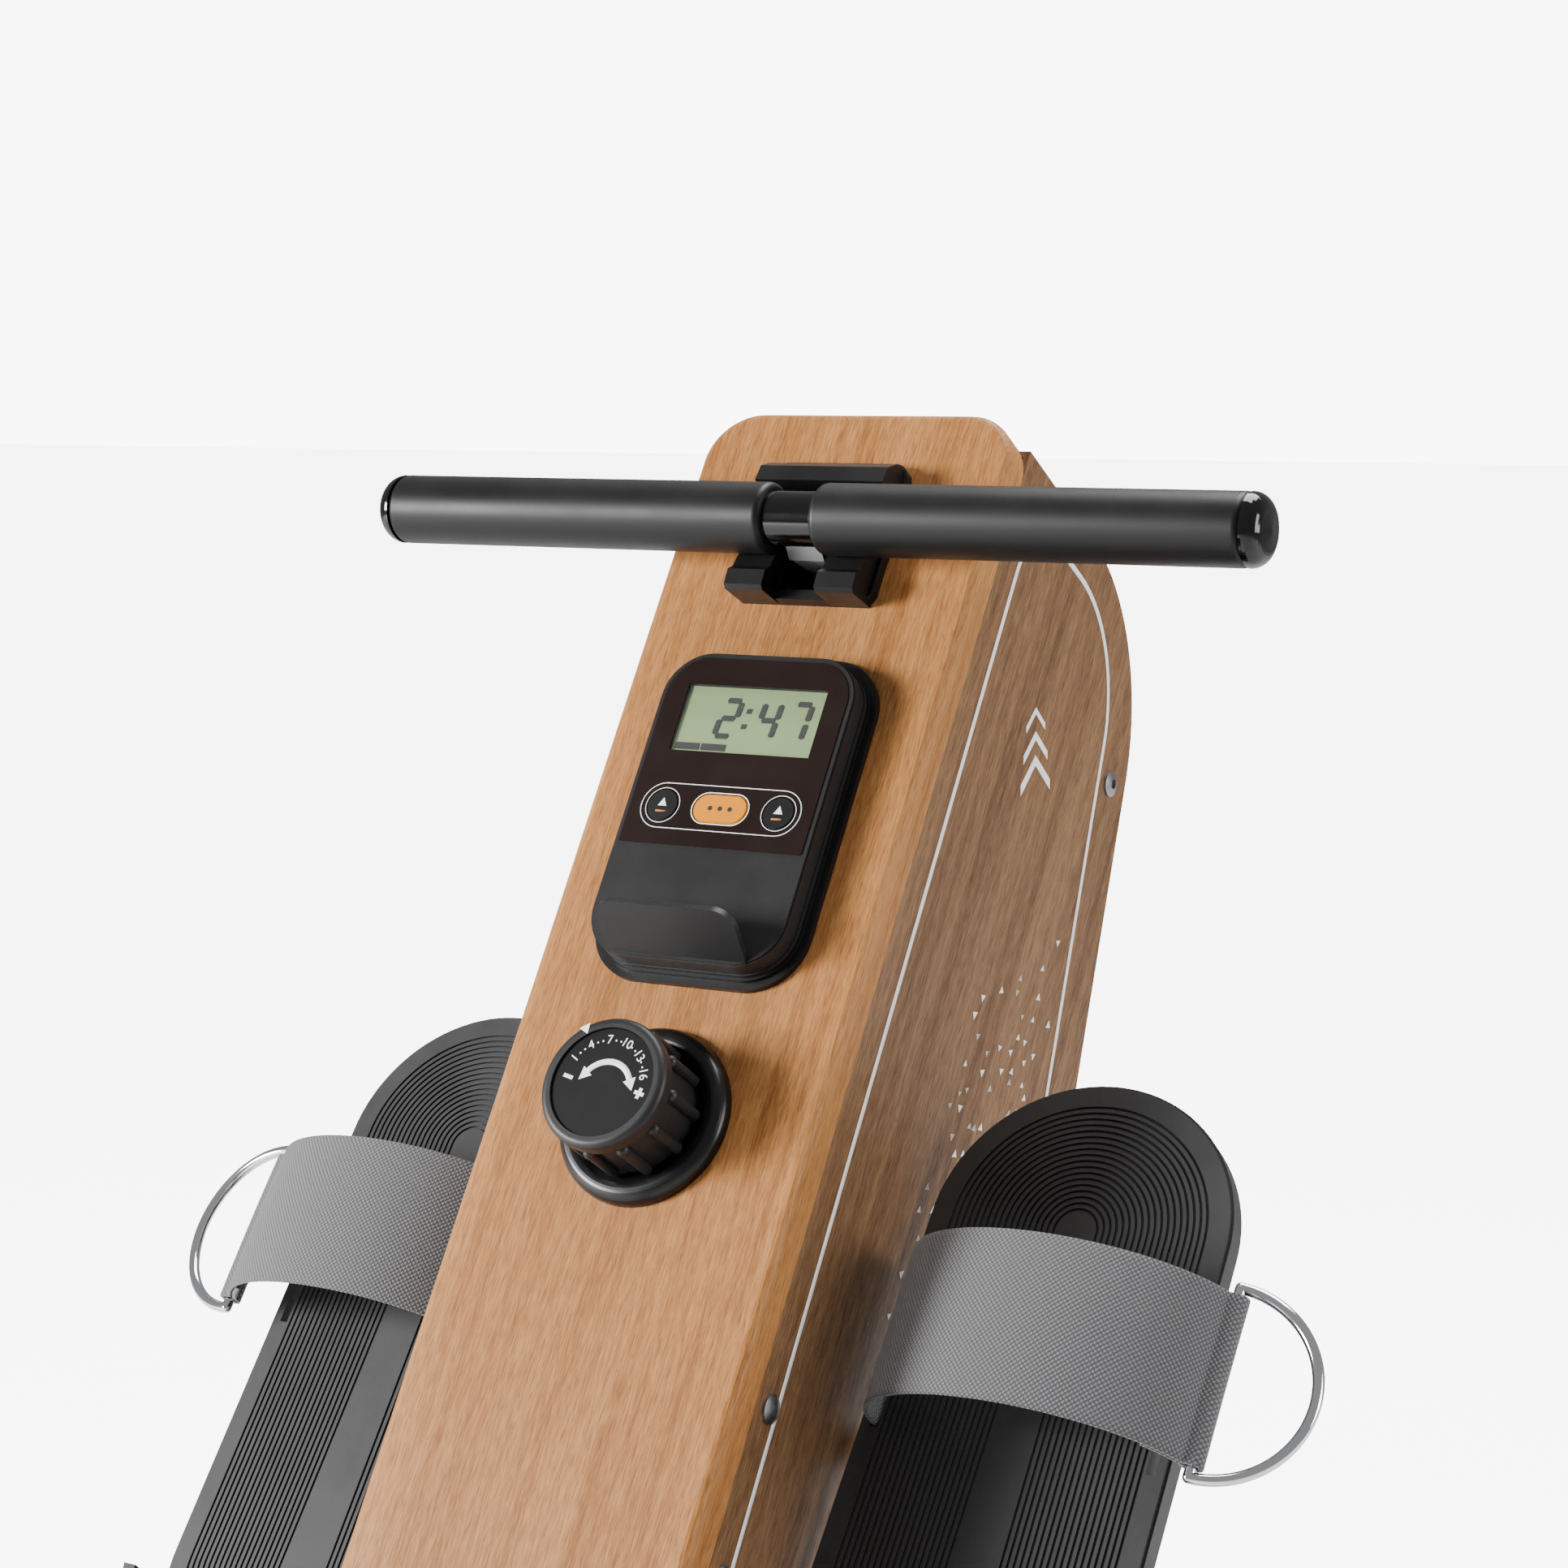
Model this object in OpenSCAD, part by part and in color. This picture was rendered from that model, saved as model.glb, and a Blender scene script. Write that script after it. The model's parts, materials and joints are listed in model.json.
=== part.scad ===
/* [Overall] */
// Overall length, from the rear foot to the back of the shroud
overall_len = 1800; // [1600:10:1900]
// Height of the top edge of the front face above the floor
top_z = 800; // [760:5:860]
// Width across the stabiliser end caps
foot_width = 480; // [420:5:560]
// Height of the rail's top above the floor
rail_top = 280; // [270:5:290]

/* [Shroud] */
// Width of the shroud
shroud_w = 160; // [150:1:190]
// Lean of the front face from vertical, in degrees
face_lean = 32.6; // [30:0.2:34]
// Lean of the back edge from vertical, in degrees
back_lean = 20.2; // [18:0.2:22]
// Depth of the shroud at its roof
top_depth = 176; // [170:1:190]
// How far the roof lies below the face's top edge
roof_drop = 9.5; // [6:0.5:14]
// Radius of the rounded top at the back
top_round = 100; // [80:1:110]
// Thickness of the front plate with its rim
plate_t = 17; // [14:1:22]
// Corner radius of the front plate
plate_r = 26; // [18:1:34]
// Wall of every shroud cover
wall = 3; // [2.5:0.5:4]
// Height of the shroud's underside
shroud_z = 58; // [52:1:64]

/* [Console] */
// Width of the console's front
console_w = 98; // [93:1:104]
// Length of the console's front
console_l = 148; // [142:1:156]
// Height of the console above the face
console_h = 16.5; // [16:0.5:20]
// Distance from the face's top edge to the console's middle
console_u = 210; // [205:1:218]
// Travel of each key
key_travel = 0.8; // [0.5:0.1:1]

/* [Tension knob] */
// Radius of the knob's front ring
knob_r = 29.2; // [26:0.2:32]
// Height of the knob's front above the face
knob_h = 41; // [36:1:46]
// Distance from the face's top edge to the knob's axis
knob_u = 350; // [344:1:360]
// Radius of the knob's fixed shaft
stem_r = 6; // [5:0.5:7]

/* [Handle] */
// Length over the grips
handle_l = 434; // [400:2:480]
// Diameter of the handle's tube
tube_d = 25; // [22:1:28]
// Diameter of the grips
grip_d = 32.4; // [30:0.2:36]
// Bare tube between the grips
grip_gap = 25; // [22:1:40]
// Distance from the face's top edge to the handle's axis
handle_u = 72; // [68:1:76]
// Height of the handle's axis above the face
handle_h = 26; // [25:0.5:29]
// Width of the pull strap
strap_w = 20; // [16:1:22]
// Thickness of the pull strap
strap_t = 1.8; // [1.4:0.1:2.4]

/* [Drive] */
// Radius of the flywheel
flywheel_r = 95; // [80:1:97]
// Thickness of the flywheel's rim
flywheel_t = 22; // [16:1:24]
// Radius of the belt pulley on the drum
pulley_r = 70; // [56:1:72]
// Radius of the belt pulley on the flywheel
small_pulley_r = 20; // [16:1:24]
// Radius of the three drive axles
axle_r = 8; // [6:0.5:9]
// Gap between each axle and its bore
running_gap = 0.06; // [0.03:0.01:0.1]

/* [Pedals] */
// Distance from the middle plane to a pedal's middle
pedal_x = 157.4; // [152:0.2:175]
// Radius of a pedal's round top
pedal_r = 69.4; // [62:0.2:70]
// Length from the round top's centre to the heel
pedal_l = 225; // [190:1:235]
// Thickness of a pedal
pedal_t = 12; // [9:0.5:16]
// Rise of a pedal from horizontal, in degrees
pedal_rise = 52; // [48:1:56]
// Radius of the pedal axle
pedal_axle_r = 9; // [7:0.5:10]
// Width of a foot strap
foot_strap_w = 74; // [60:1:80]

/* [Seat and rail] */
// Width of the rail
rail_w = 44; // [40:1:50]
// Height of the rail
rail_h = 80; // [70:1:84]
// Width of the seat pad
seat_w = 300; // [260:5:340]
// Length of the seat pad
seat_l = 240; // [210:5:270]
// Thickness of the seat pad
seat_t = 48; // [36:1:60]
// Distance of the resting seat from the middle of the machine, towards the user's end
seat_back = 150; // [100:10:250]
// Radius of the seat's rollers
roller_r = 15; // [12:0.5:17]

/* [Feet] */
// Radius of the stabiliser tubes
foot_tube_r = 25; // [20:1:26]
// Radius of the end caps
cap_r = 32; // [29:1:36]
// Radius of the transport wheels
wheel_r = 27; // [22:1:28]

/* [Hidden] */

$fn = 64;
clear = 0.3;        // gap between pieces that move past each other
e = 0.5;            // overshoot of a cut past its face
face_turn = 90 - face_lean;
lean_gap = face_lean - back_lean;

// Shroud outline: the back line's depth at a height along the face, and the two rounding centres
function back_depth(u) = top_depth + tan(lean_gap) * (-roof_drop - u);
round_u = -roof_drop - top_round;
round_b = back_depth(round_u) - top_round / cos(lean_gap);
top_y = overall_len / 2 - (round_u * sin(face_lean) + round_b * cos(face_lean) + top_round);
bottom_round = 34;

// A point u up the face and b behind it, as [y, z]
function at(u, b) = [top_y + u * sin(face_lean) + b * cos(face_lean),
                     top_z + u * cos(face_lean) - b * sin(face_lean)];
// The y of the face line, b behind it, and of the back line, at a height z
function face_y(z, b) = top_y - (top_z - z) * tan(face_lean) + b / cos(face_lean);
function back_y(z) = at(-roof_drop, top_depth)[0] - (at(-roof_drop, top_depth)[1] - z) * tan(back_lean);
function arc(c, r, a0, a1, n) = [for (i = [0:n]) c + r * [cos(a0 + (a1 - a0) * i / n), sin(a0 + (a1 - a0) * i / n)]];

// The shroud's side outline, drawn in by an inset, from its front line at a depth behind the face
function shroud_outline(inset, depth) = concat(
    [at(-roof_drop - inset, depth)],
    arc(at(round_u, round_b), top_round - inset, face_turn, -back_lean, 24),
    arc([back_y(shroud_z + bottom_round) - bottom_round / cos(back_lean), shroud_z + bottom_round],
        bottom_round - inset, -back_lean, -90, 10),
    arc([face_y(shroud_z + bottom_round, plate_t) + bottom_round / cos(face_lean), shroud_z + bottom_round],
        bottom_round - inset, -90, -180 - face_lean, 12),
    [at(at_foot_u, depth)]);
at_foot_u = -(top_z - shroud_z - bottom_round) / cos(face_lean);

// Drive line: the flywheel stands behind the rail's end, in front of the post
post_w = 68;
post_d = 40;
post_in = 12;       // from the back line to the post
beam_h = 28;
beam_z = shroud_z + 4;
plate_gap = 0.5;    // between neighbours that don't touch
fly_z = beam_z + beam_h + 13 + flywheel_r;
fly_y = back_y(fly_z) - (post_in + post_d) / cos(back_lean) - 8 - flywheel_r;
rail_front = fly_y - flywheel_r - 10;
rail_rear = -overall_len / 2 + 30;
drum_z = 500;
drum_y = top_y - 75;
drum_r = 30;
coil_r = 44;
guide_u = -90;
guide_b = 20;
guide_r = 12;
guide = at(guide_u, guide_b);
plates_x = post_w / 2;
bearing_t = 6;
belt_x = 15;
belt_w = 12;
belt_t = 3;

// Magnet arm: a curved bar over the flywheel, pivoted near the post
arm_in = flywheel_r + 12;
arm_t = 7;
arm_a0 = 36;
arm_a1 = 122;
arm_pin_r = 4;
arm_pivot = [fly_y, fly_z] + (arm_in + arm_t / 2) * [cos(arm_a0), sin(arm_a0)];

// Pedals
pedal_c = [top_y - 98.2, top_z - 342.9];
pivot_v = -100;
pivot_drop = 36;
function on_pedal_yz(v, n) = pedal_c + v * [cos(pedal_rise), sin(pedal_rise)] + n * [-sin(pedal_rise), cos(pedal_rise)];
pedal_pivot = on_pedal_yz(pivot_v, -pivot_drop);

// Feet
front_foot_y = top_y + 35;
rear_foot_y = rail_rear + 16;

// Moves its children onto the front face: x across, y up the face, z out of it
module on_face(u = 0) { translate([0, top_y, top_z]) rotate([face_turn, 0, 0]) translate([0, u, 0]) children(); }
// Draws a side view and gives it a thickness from x0 to x1
module side_slab(x0, x1) { translate([x0, 0, 0]) rotate([90, 0, 90]) linear_extrude(x1 - x0) children(); }
// A cylinder along x, from x0 to x1, at a point of the side view
module cross_rod(p, r, x0, x1) { translate([x0, p[0], p[1]]) rotate([0, 90, 0]) cylinder(r = r, h = x1 - x0); }
// A flat block with round corners, standing on z = 0
module rounded_block(w, l, r, h) {
    linear_extrude(h) {
        square([w - 2 * r, l], center = true);
        square([w, l - 2 * r], center = true);
        for (x = [-1, 1], y = [-1, 1]) translate([x * (w / 2 - r), y * (l / 2 - r)]) circle(r);
    }
}
// Two blocks that repeat on the left and on the right
module both_sides() { for (s = [-1, 1]) scale_side(s) children(); }
module scale_side(s) { if (s > 0) children(); else mirror([1, 0, 0]) children(); }

// ---- frame ----
module post_outline(z0, z1) {
    back = post_in / cos(back_lean);
    front = (post_in + post_d) / cos(back_lean);
    polygon([[back_y(z0) - back, z0], [back_y(z1) - back, z1], [back_y(z1) - front, z1], [back_y(z0) - front, z0]]);
}
post_top = 600;
socket_l = rail_front - face_y(rail_top - rail_h, plate_t) - 6;
module main_frame() {
    color("dimgray") {
        side_slab(-30, 30) polygon([[rail_front - socket_l, beam_z], [front_foot_y + 12, beam_z],
            [front_foot_y + 12, beam_z + beam_h], [rail_front - socket_l, beam_z + beam_h]]);
        side_slab(-post_w / 2, post_w / 2) post_outline(beam_z + beam_h, post_top);
        translate([-rail_w / 2, rail_front - socket_l, beam_z + beam_h])
            cube([rail_w, socket_l, rail_top - rail_h - beam_z - beam_h]);
        difference() {
            translate([-22, front_foot_y - 12, foot_axis]) cube([44, 24, beam_z - foot_axis + e]);
            cross_rod([front_foot_y, foot_axis], foot_tube_r, -30, 30);
        }
    }
}
// The pair of plates that carries every axle of the drive
module bearing_plates() {
    color("slategray") both_sides() difference() {
        side_slab(plates_x, plates_x + bearing_t) polygon([
            [fly_y - 26, fly_z - 26], [fly_y + 26, fly_z - 30], [back_y(fly_z) - 16, fly_z],
            [back_y(post_top) - 16, post_top], [guide[0] + 18, guide[1] + 8], [guide[0] - 4, guide[1] + 13],
            [guide[0] - 16, guide[1] - 10], [drum_y - 26, drum_z + 20], [drum_y - 30, drum_z - 20],
            [pedal_pivot[0] - 24, pedal_pivot[1] + 10], [pedal_pivot[0] - 26, pedal_pivot[1] - 20],
            [fly_y - 34, fly_z + 20]]);
        for (p = [[fly_y, fly_z], [drum_y, drum_z], guide])
            cross_rod(p, axle_r, plates_x - e, plates_x + bearing_t + e);
        cross_rod(arm_pivot, arm_pin_r, plates_x - e, plates_x + bearing_t + e);
        cross_rod(pedal_pivot, pedal_axle_r, plates_x - e, plates_x + bearing_t + e);
    }
}
module drive_axles() {
    color("silver") {
        for (p = [[fly_y, fly_z], [drum_y, drum_z], guide])
            cross_rod(p, axle_r, -plates_x - bearing_t - 6, plates_x + bearing_t + 6);
        cross_rod(arm_pivot, arm_pin_r, -plates_x - bearing_t - 4, plates_x + bearing_t + 4);
    }
}
foot_axis = cap_r - 2;
module stabilizer(y) {
    difference() {
        cross_rod([y, foot_axis], foot_tube_r, -foot_width / 2 + 8 + 2 * clear, foot_width / 2 - 8 - 2 * clear);
        cross_rod([y, foot_axis], foot_tube_r - 2, -foot_width / 2, foot_width / 2);
    }
}
// A pair of rubber end caps: rounded drums over the tube's ends, flat where they stand
module cap_pair(y) {
    both_sides() difference() {
        translate([foot_width / 2, y, foot_axis]) rotate([0, -90, 0]) rotate_extrude()
            polygon(concat([[0, 0]], arc([cap_r - 8, 8], 8, -90, 0, 8), [[cap_r, 44], [foot_tube_r + clear, 44],
                [foot_tube_r + clear, 8 + clear], [0, 8 + clear]]));
        translate([foot_width / 2 - 50, y - 40, -20]) cube([60, 80, 20]);
    }
}
module front_stabilizer() { color("dimgray") stabilizer(front_foot_y); }
module rear_stabilizer() { color("dimgray") stabilizer(rear_foot_y); }
module end_caps() {
    color("black") {
        cap_pair(front_foot_y);
        cap_pair(rear_foot_y);
    }
}

// ---- rail ----
groove_d = 8;
groove_h = 20;
groove_z = rail_top - rail_h / 2;
module rail() {
    color("silver") difference() {
        translate([-rail_w / 2, rail_rear, rail_top - rail_h]) cube([rail_w, rail_front - rail_rear, rail_h]);
        both_sides() translate([rail_w / 2 - groove_d, rail_rear - e, groove_z - groove_h / 2])
            cube([groove_d + e, rail_front - rail_rear + 2 * e, groove_h]);
        for (s = [-1, 1]) translate([-rail_w / 2 + 3.5, rail_rear - e, groove_z + s * (rail_h / 4 + groove_h / 4 - 1) - rail_h / 8 + 2])
            cube([rail_w - 7, rail_front - rail_rear + 2 * e, rail_h / 4 - 4]);
    }
}
// Buffers that stop the seat, and the rail's end cap
module rail_bumpers() {
    color("black") {
        for (y = [rail_rear + 26, face_y(rail_top, 0) - 56])
            translate([0, y, rail_top]) cylinder(r = 11, h = 20);
        translate([0, rail_rear, rail_top - rail_h / 2]) rotate([90, 0, 0])
            rounded_block(rail_w + 6, rail_h + 6, 10, 30);
    }
}
leg_w = 40;
module rear_leg() {
    color("dimgray") {
        difference() {
            translate([-leg_w / 2, rear_foot_y - 14, foot_axis]) cube([leg_w, 28, rail_top - rail_h - 6 - foot_axis]);
            cross_rod([rear_foot_y, foot_axis], foot_tube_r, -leg_w, leg_w);
        }
        translate([-leg_w / 2, rear_foot_y - 14, rail_top - rail_h - 6]) cube([leg_w, 90, 6]);
    }
}
bolt_r = 4;
module hex_bolt(head_r = 8, head_h = 5) {
    difference() {
        cylinder(r = head_r, h = head_h);
        translate([0, 0, head_h - 2.5]) cylinder(r = head_r * 0.45, h = 3, $fn = 6);
    }
}
module frame_bolts() {
    color("silver") {
        both_sides() for (z = [fly_z + 60, drum_z + 30, post_top - 40])
            translate([plates_x + bearing_t, back_y(z) - (post_in + post_d / 2) / cos(back_lean), z]) rotate([0, 90, 0]) hex_bolt();
        for (y = [40, 66]) translate([0, rear_foot_y + y, rail_top - rail_h - 6]) rotate([180, 0, 0]) hex_bolt(7, 4);
    }
}

// ---- shroud ----
plate_foot = -at_foot_u;
slot_u0 = -97;
slot_u1 = -62;
slot_x = 12.5;
round_edge = 4;
module front_cover() {
    color("burlywood") difference() {
        on_face() difference() {
            union() {
                translate([0, -plate_foot / 2, -plate_t]) rounded_block(shroud_w, plate_foot, plate_r, plate_t - round_edge);
                hull() {
                    for (i = [0:4]) translate([0, -plate_foot / 2, -round_edge * (1 - sin(i * 22.5)) - 0.02])
                        rounded_block(shroud_w - 2 * round_edge * (1 - cos(i * 22.5)),
                            plate_foot - 2 * round_edge * (1 - cos(i * 22.5)), plate_r - round_edge * (1 - cos(i * 22.5)), 0.02, $fn = 48);
                }
            }
            translate([0, -plate_foot / 2, -plate_t - e])
                rounded_block(shroud_w - 2 * wall, plate_foot - 2 * wall, plate_r - wall, plate_t - wall + e);
            translate([-slot_x - 2, slot_u0 - 2, -wall - e]) cube([2 * slot_x + 4, slot_u1 - slot_u0 + 4, wall + 2 * e]);
            translate([0, -knob_u, -wall - e]) cylinder(r = hub_r + 0.6, h = wall + 2 * e);
            translate([0, -console_u + 40, -wall - e]) cylinder(r = 8, h = wall + 2 * e);
        }
        translate([-rail_w / 2 - 2, face_y(rail_top, 0) - 100, rail_top - rail_h - 2])
            cube([rail_w + 4, 200, rail_h + 4]);
    }
}
// One side of the shroud: its wall, its half of the roof, back and floor
module side_cover() {
    difference() {
        side_slab(plate_gap / 2, shroud_w / 2) polygon(shroud_outline(0, plate_t));
        side_slab(plate_gap / 2 - e, shroud_w / 2 - wall)
            polygon(concat([at(-roof_drop - wall, plate_t - 5)], shroud_outline(wall, plate_t), [at(at_foot_u, plate_t - 5)]));
        cross_rod(pedal_pivot, pedal_axle_r + 1.5, 0, shroud_w);
        translate([-e, back_y(beam_z) - 80, beam_z - 1]) cube([31 + e, 200, beam_h + 2]);
        translate([-e, face_y(rail_top, plate_t) - 120, rail_top - rail_h - 2]) cube([rail_w / 2 + 2 + e, 200, rail_h + 4]);
        for (p = screw_points) cross_rod(p, 3, 0, shroud_w);
    }
    for (p = screw_points) difference() {
        cross_rod(p, 6, plate_gap / 2, shroud_w / 2 - wall);
        cross_rod(p, 3, 0, shroud_w);
    }
}
screw_points = [[top_y + 96.4, top_z - 177.2], [face_y(400, plate_t) + 14, 400],
    [face_y(rail_top + 60, plate_t) + 14, rail_top + 60], [face_y(shroud_z + 44, plate_t) + 16, shroud_z + 44]];
module left_cover() { color("burlywood") mirror([1, 0, 0]) side_cover(); }
module right_cover() { color("burlywood") side_cover(); }
module cover_screws() {
    color("silver") both_sides() for (p = screw_points)
        translate([shroud_w / 2 - 0.4, p[0], p[1]]) rotate([0, 90, 0]) {
            difference() {
                translate([0, 0, 0.4]) intersection() {
                    cylinder(r = 6.2, h = 2.6);
                    translate([0, 0, -12]) sphere(14.6);
                }
                translate([0, 0, 1]) cylinder(r = 2.6, h = 3, $fn = 6);
            }
            translate([0, 0, -24]) cylinder(r = 2.9, h = 24.5);
        }
}

// ---- handle and its cradle ----
pull_lean = 5;      // the handle is pulled this far below level
handle_axis = at(-handle_u, -handle_h);
prong_x0 = 13.5;
prong_x1 = 33;
module cradle() {
    color("black") difference() {
        union() {
            on_face() {
                translate([0, -66.5, 0]) rounded_block(2 * prong_x1 + 4, 71, 7, 6);
                rotate([90, 0, 90]) translate([0, 0, -prong_x1]) linear_extrude(2 * prong_x1)
                    polygon([[-33, 0], [-36, 14], [-41, 20], [-49, 21], [-50, 19], [-58, 3], [-98, 3], [-102, 6], [-102, 0]]);
                for (s = [-1, 1]) rotate([90, 0, 90]) translate([0, 0, s > 0 ? prong_x0 : -prong_x1]) linear_extrude(prong_x1 - prong_x0)
                    polygon([[-50, 0], [-56, 9], [-92, 17], [-95, 20], [-102.5, 19.5], [-104, 17], [-102, 1], [-102, 0]]);
            }
        }
        cross_rod(handle_axis, grip_d / 2 + 0.5, -60, 60);
        translate([0, handle_axis[0], handle_axis[1]]) rotate([pull_lean, 0, 0])
            translate([-60, -80, -grip_d / 2 - 0.5]) cube([120, 80, grip_d + 1]);
        on_face() translate([-slot_x, slot_u0, -e]) cube([2 * slot_x, slot_u1 - slot_u0, 12]);
    }
}
module handle_tube() {
    color("black") difference() {
        cross_rod(handle_axis, tube_d / 2, -handle_l / 2, handle_l / 2);
        for (s = [-1, 1]) cross_rod(handle_axis, tube_d / 2 - 2.5, s > 0 ? grip_gap : -handle_l / 2 - e, s > 0 ? handle_l / 2 + e : -grip_gap);
    }
}
module hand_grips() {
    color("darkslategray") both_sides() difference() {
        translate([handle_l / 2, handle_axis[0], handle_axis[1]]) rotate([0, -90, 0]) rotate_extrude()
            polygon(concat([[0, 0]], arc([grip_d / 2 - 3, 3], 3, -90, 0, 6),
                arc([grip_d / 2 - 3, handle_l / 2 - grip_gap / 2 - 3], 3, 0, 90, 6), [[0, handle_l / 2 - grip_gap / 2]]));
        cross_rod(handle_axis, tube_d / 2, 0, handle_l);
    }
}
cap_dome = 8;
module handle_caps() {
    color("black") both_sides() translate([handle_l / 2, handle_axis[0], handle_axis[1]]) rotate([0, 90, 0]) {
        rotate_extrude() polygon(concat([[0, 0], [grip_d / 2, 0]], arc([grip_d / 2 - cap_dome, 0], cap_dome, 0, 90, 10), [[0, cap_dome + 1]]));
        translate([0, 0, -14]) cylinder(r = tube_d / 2 - 2.6, h = 14.5);
    }
}
clip_w = 18;
clip_a = 240;       // direction of the clip from the tube's axis, in the face's side view
clip_reach = 20;
module strap_clip() {
    color("silver") difference() {
        on_face() translate([0, -handle_u, handle_h]) rotate([clip_a - 360, 0, 0]) translate([-clip_w / 2, tube_d / 2 - 3, -3])
            cube([clip_w, clip_reach - tube_d / 2 + 3, 6]);
        cross_rod(handle_axis, tube_d / 2, -clip_w, clip_w);
    }
}
clip_end = handle_axis + clip_reach * [cos(face_turn + clip_a), sin(face_turn + clip_a)];
// The strap: up from the drum, round the guide roller and out to the clip
guide_lane = guide_r + clear + strap_t / 2;
clip_vec = clip_end - guide;
clip_dir = atan2(clip_vec[1], clip_vec[0]) - acos(guide_lane / norm(clip_vec));
drum_vec = guide - [drum_y, drum_z];
coil_lane = coil_r + clear + strap_t / 2;
drum_dir = atan2(drum_vec[1], drum_vec[0]) - acos((coil_lane - guide_lane) / norm(drum_vec));
strap_line = concat([[drum_y, drum_z] + coil_lane * [cos(drum_dir), sin(drum_dir)]],
    arc(guide, guide_lane, drum_dir, clip_dir, 8), [clip_end + 0.6 * (guide - clip_end) / norm(clip_vec)]);
function turn_left(v) = [-v[1], v[0]] / norm(v);
function lane_normal(p, i) = turn_left(p[min(i + 1, len(p) - 1)] - p[max(i - 1, 0)]);
function ribbon(p, t) = concat([for (i = [0:len(p) - 1]) p[i] + t / 2 * lane_normal(p, i)],
    [for (i = [len(p) - 1:-1:0]) p[i] - t / 2 * lane_normal(p, i)]);
module pull_strap() {
    color("gray") side_slab(-strap_w / 2, strap_w / 2) polygon(ribbon(strap_line, strap_t));
}

// ---- console ----
film_top = console_l / 2 - 3;
film_low = -21;
window_w = 71;
window_l = 33;
window_v = 41.2;
key_v = -2.4;
key_x = 29.4;
key_r = 7.7;
pill_w = 27;
pill_l = 13.5;
module pill(w, l, h) { rounded_block(w, l, l / 2 - 0.01, h); }
module console_base() {
    color("black") on_face(-console_u) difference() {
        union() {
            rounded_block(console_w + 9, console_l + 11, 27, 3);
            rounded_block(console_w + 3, console_l + 4, 24, 5);
        }
        translate([0, 0, 1]) rounded_block(console_w - 6, console_l - 6, 19, 5);
        translate([0, 40, -e]) cylinder(r = 8, h = 3);
    }
}
module console_front() {
    color("dimgray") on_face(-console_u) {
        difference() {
            union() {
                translate([0, 0, 5]) rounded_block(console_w + 1.2, console_l + 1.2, 22.6, 2.4);
                translate([0, 0, 5]) rounded_block(console_w, console_l, 22, console_h - 6);
                translate([0, 0, console_h - 1.01]) rounded_block(console_w - 1.2, console_l - 1.2, 21.4, 1.01);
            }
            translate([0, 0, 5 - e]) rounded_block(console_w - 6, console_l - 6, 19, console_h - 7.5 + e);
            translate([0, window_v, 0]) translate([-window_w / 2, -window_l / 2, 0]) cube([window_w, window_l, console_h + e]);
            for (s = [-1, 1]) translate([s * key_x, key_v, 0]) cylinder(r = key_r + clear, h = console_h + 2);
            translate([0, key_v, 0]) pill(pill_w + 2 * clear, pill_l + 2 * clear, console_h + 2);
        }
        ledge();
    }
}
// The ledge that a phone stands on: a plate that leaves the console's lower edge and leans up beside its face
ledge_w = 70;
ledge_l = 26.4;
ledge_t = 3;
ledge_tilt = 60.5;
module ledge() {
    translate([0, -console_l / 2 + 2, console_h]) rotate([ledge_tilt, 0, 0]) translate([0, 0, -ledge_t]) intersection() {
        rounded_block(ledge_w, 2 * ledge_l, 10, ledge_t);
        translate([-ledge_w / 2 - 1, -1, -1]) cube([ledge_w + 2, ledge_l + 2, ledge_t + 2]);
    }
}
module console_film() {
    color("saddlebrown") on_face(-console_u) translate([0, 0, console_h + 0.01]) difference() {
        intersection() {
            rounded_block(console_w - 5.5, console_l - 5.5, 19.5, 0.5);
            translate([0, (film_top + film_low) / 2, 0]) rounded_block(console_w, film_top - film_low, 5, 0.5);
        }
        translate([-window_w / 2, window_v - window_l / 2, -e]) cube([window_w, window_l, 2]);
        for (s = [-1, 1]) translate([s * key_x, key_v, -e]) cylinder(r = key_r + clear, h = 2);
        translate([0, key_v, -e]) pill(pill_w + 2 * clear, pill_l + 2 * clear, 2);
    }
}
board_h = 11.8;
module display() {
    color("darkseagreen") on_face(-console_u) translate([-window_w / 2 + 0.3, window_v - window_l / 2 + 0.3, board_h + 1.2])
        cube([window_w - 0.6, window_l - 0.6, console_h - 1.2 - board_h - 1.2]);
}
module display_window() {
    color("lightcyan") on_face(-console_u) translate([-window_w / 2 + 0.1, window_v - window_l / 2 + 0.1, console_h - 1.2])
        cube([window_w - 0.2, window_l - 0.2, 1.2]);
}
module circuit_board() {
    color("green") on_face(-console_u) translate([-38, -58, board_h]) cube([76, 118, 1.2]);
}
module batteries() {
    color("gold") on_face(-console_u) for (y = [-8, -20]) translate([-22, y - 20, 6.3]) rotate([0, 90, 0]) {
        cylinder(r = 5.2, h = 43);
        translate([0, 0, 43]) cylinder(r = 1.9, h = 1.2);
    }
}
key_low = board_h + 1.2 + key_travel + 0.15;
key_high = console_h + 0.9;
module round_key(x) {
    on_face(-console_u) translate([x, key_v, key_low]) {
        cylinder(r = key_r, h = key_high - key_low - 0.5);
        cylinder(r = key_r - 0.5, h = key_high - key_low);
    }
}
module left_key() { color("black") round_key(-key_x); }
module right_key() { color("black") round_key(key_x); }
module mode_key() {
    color("orange") on_face(-console_u) translate([0, key_v, key_low]) {
        pill(pill_w, pill_l, key_high - key_low - 0.5);
        pill(pill_w - 1, pill_l - 1, key_high - key_low);
    }
}

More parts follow.
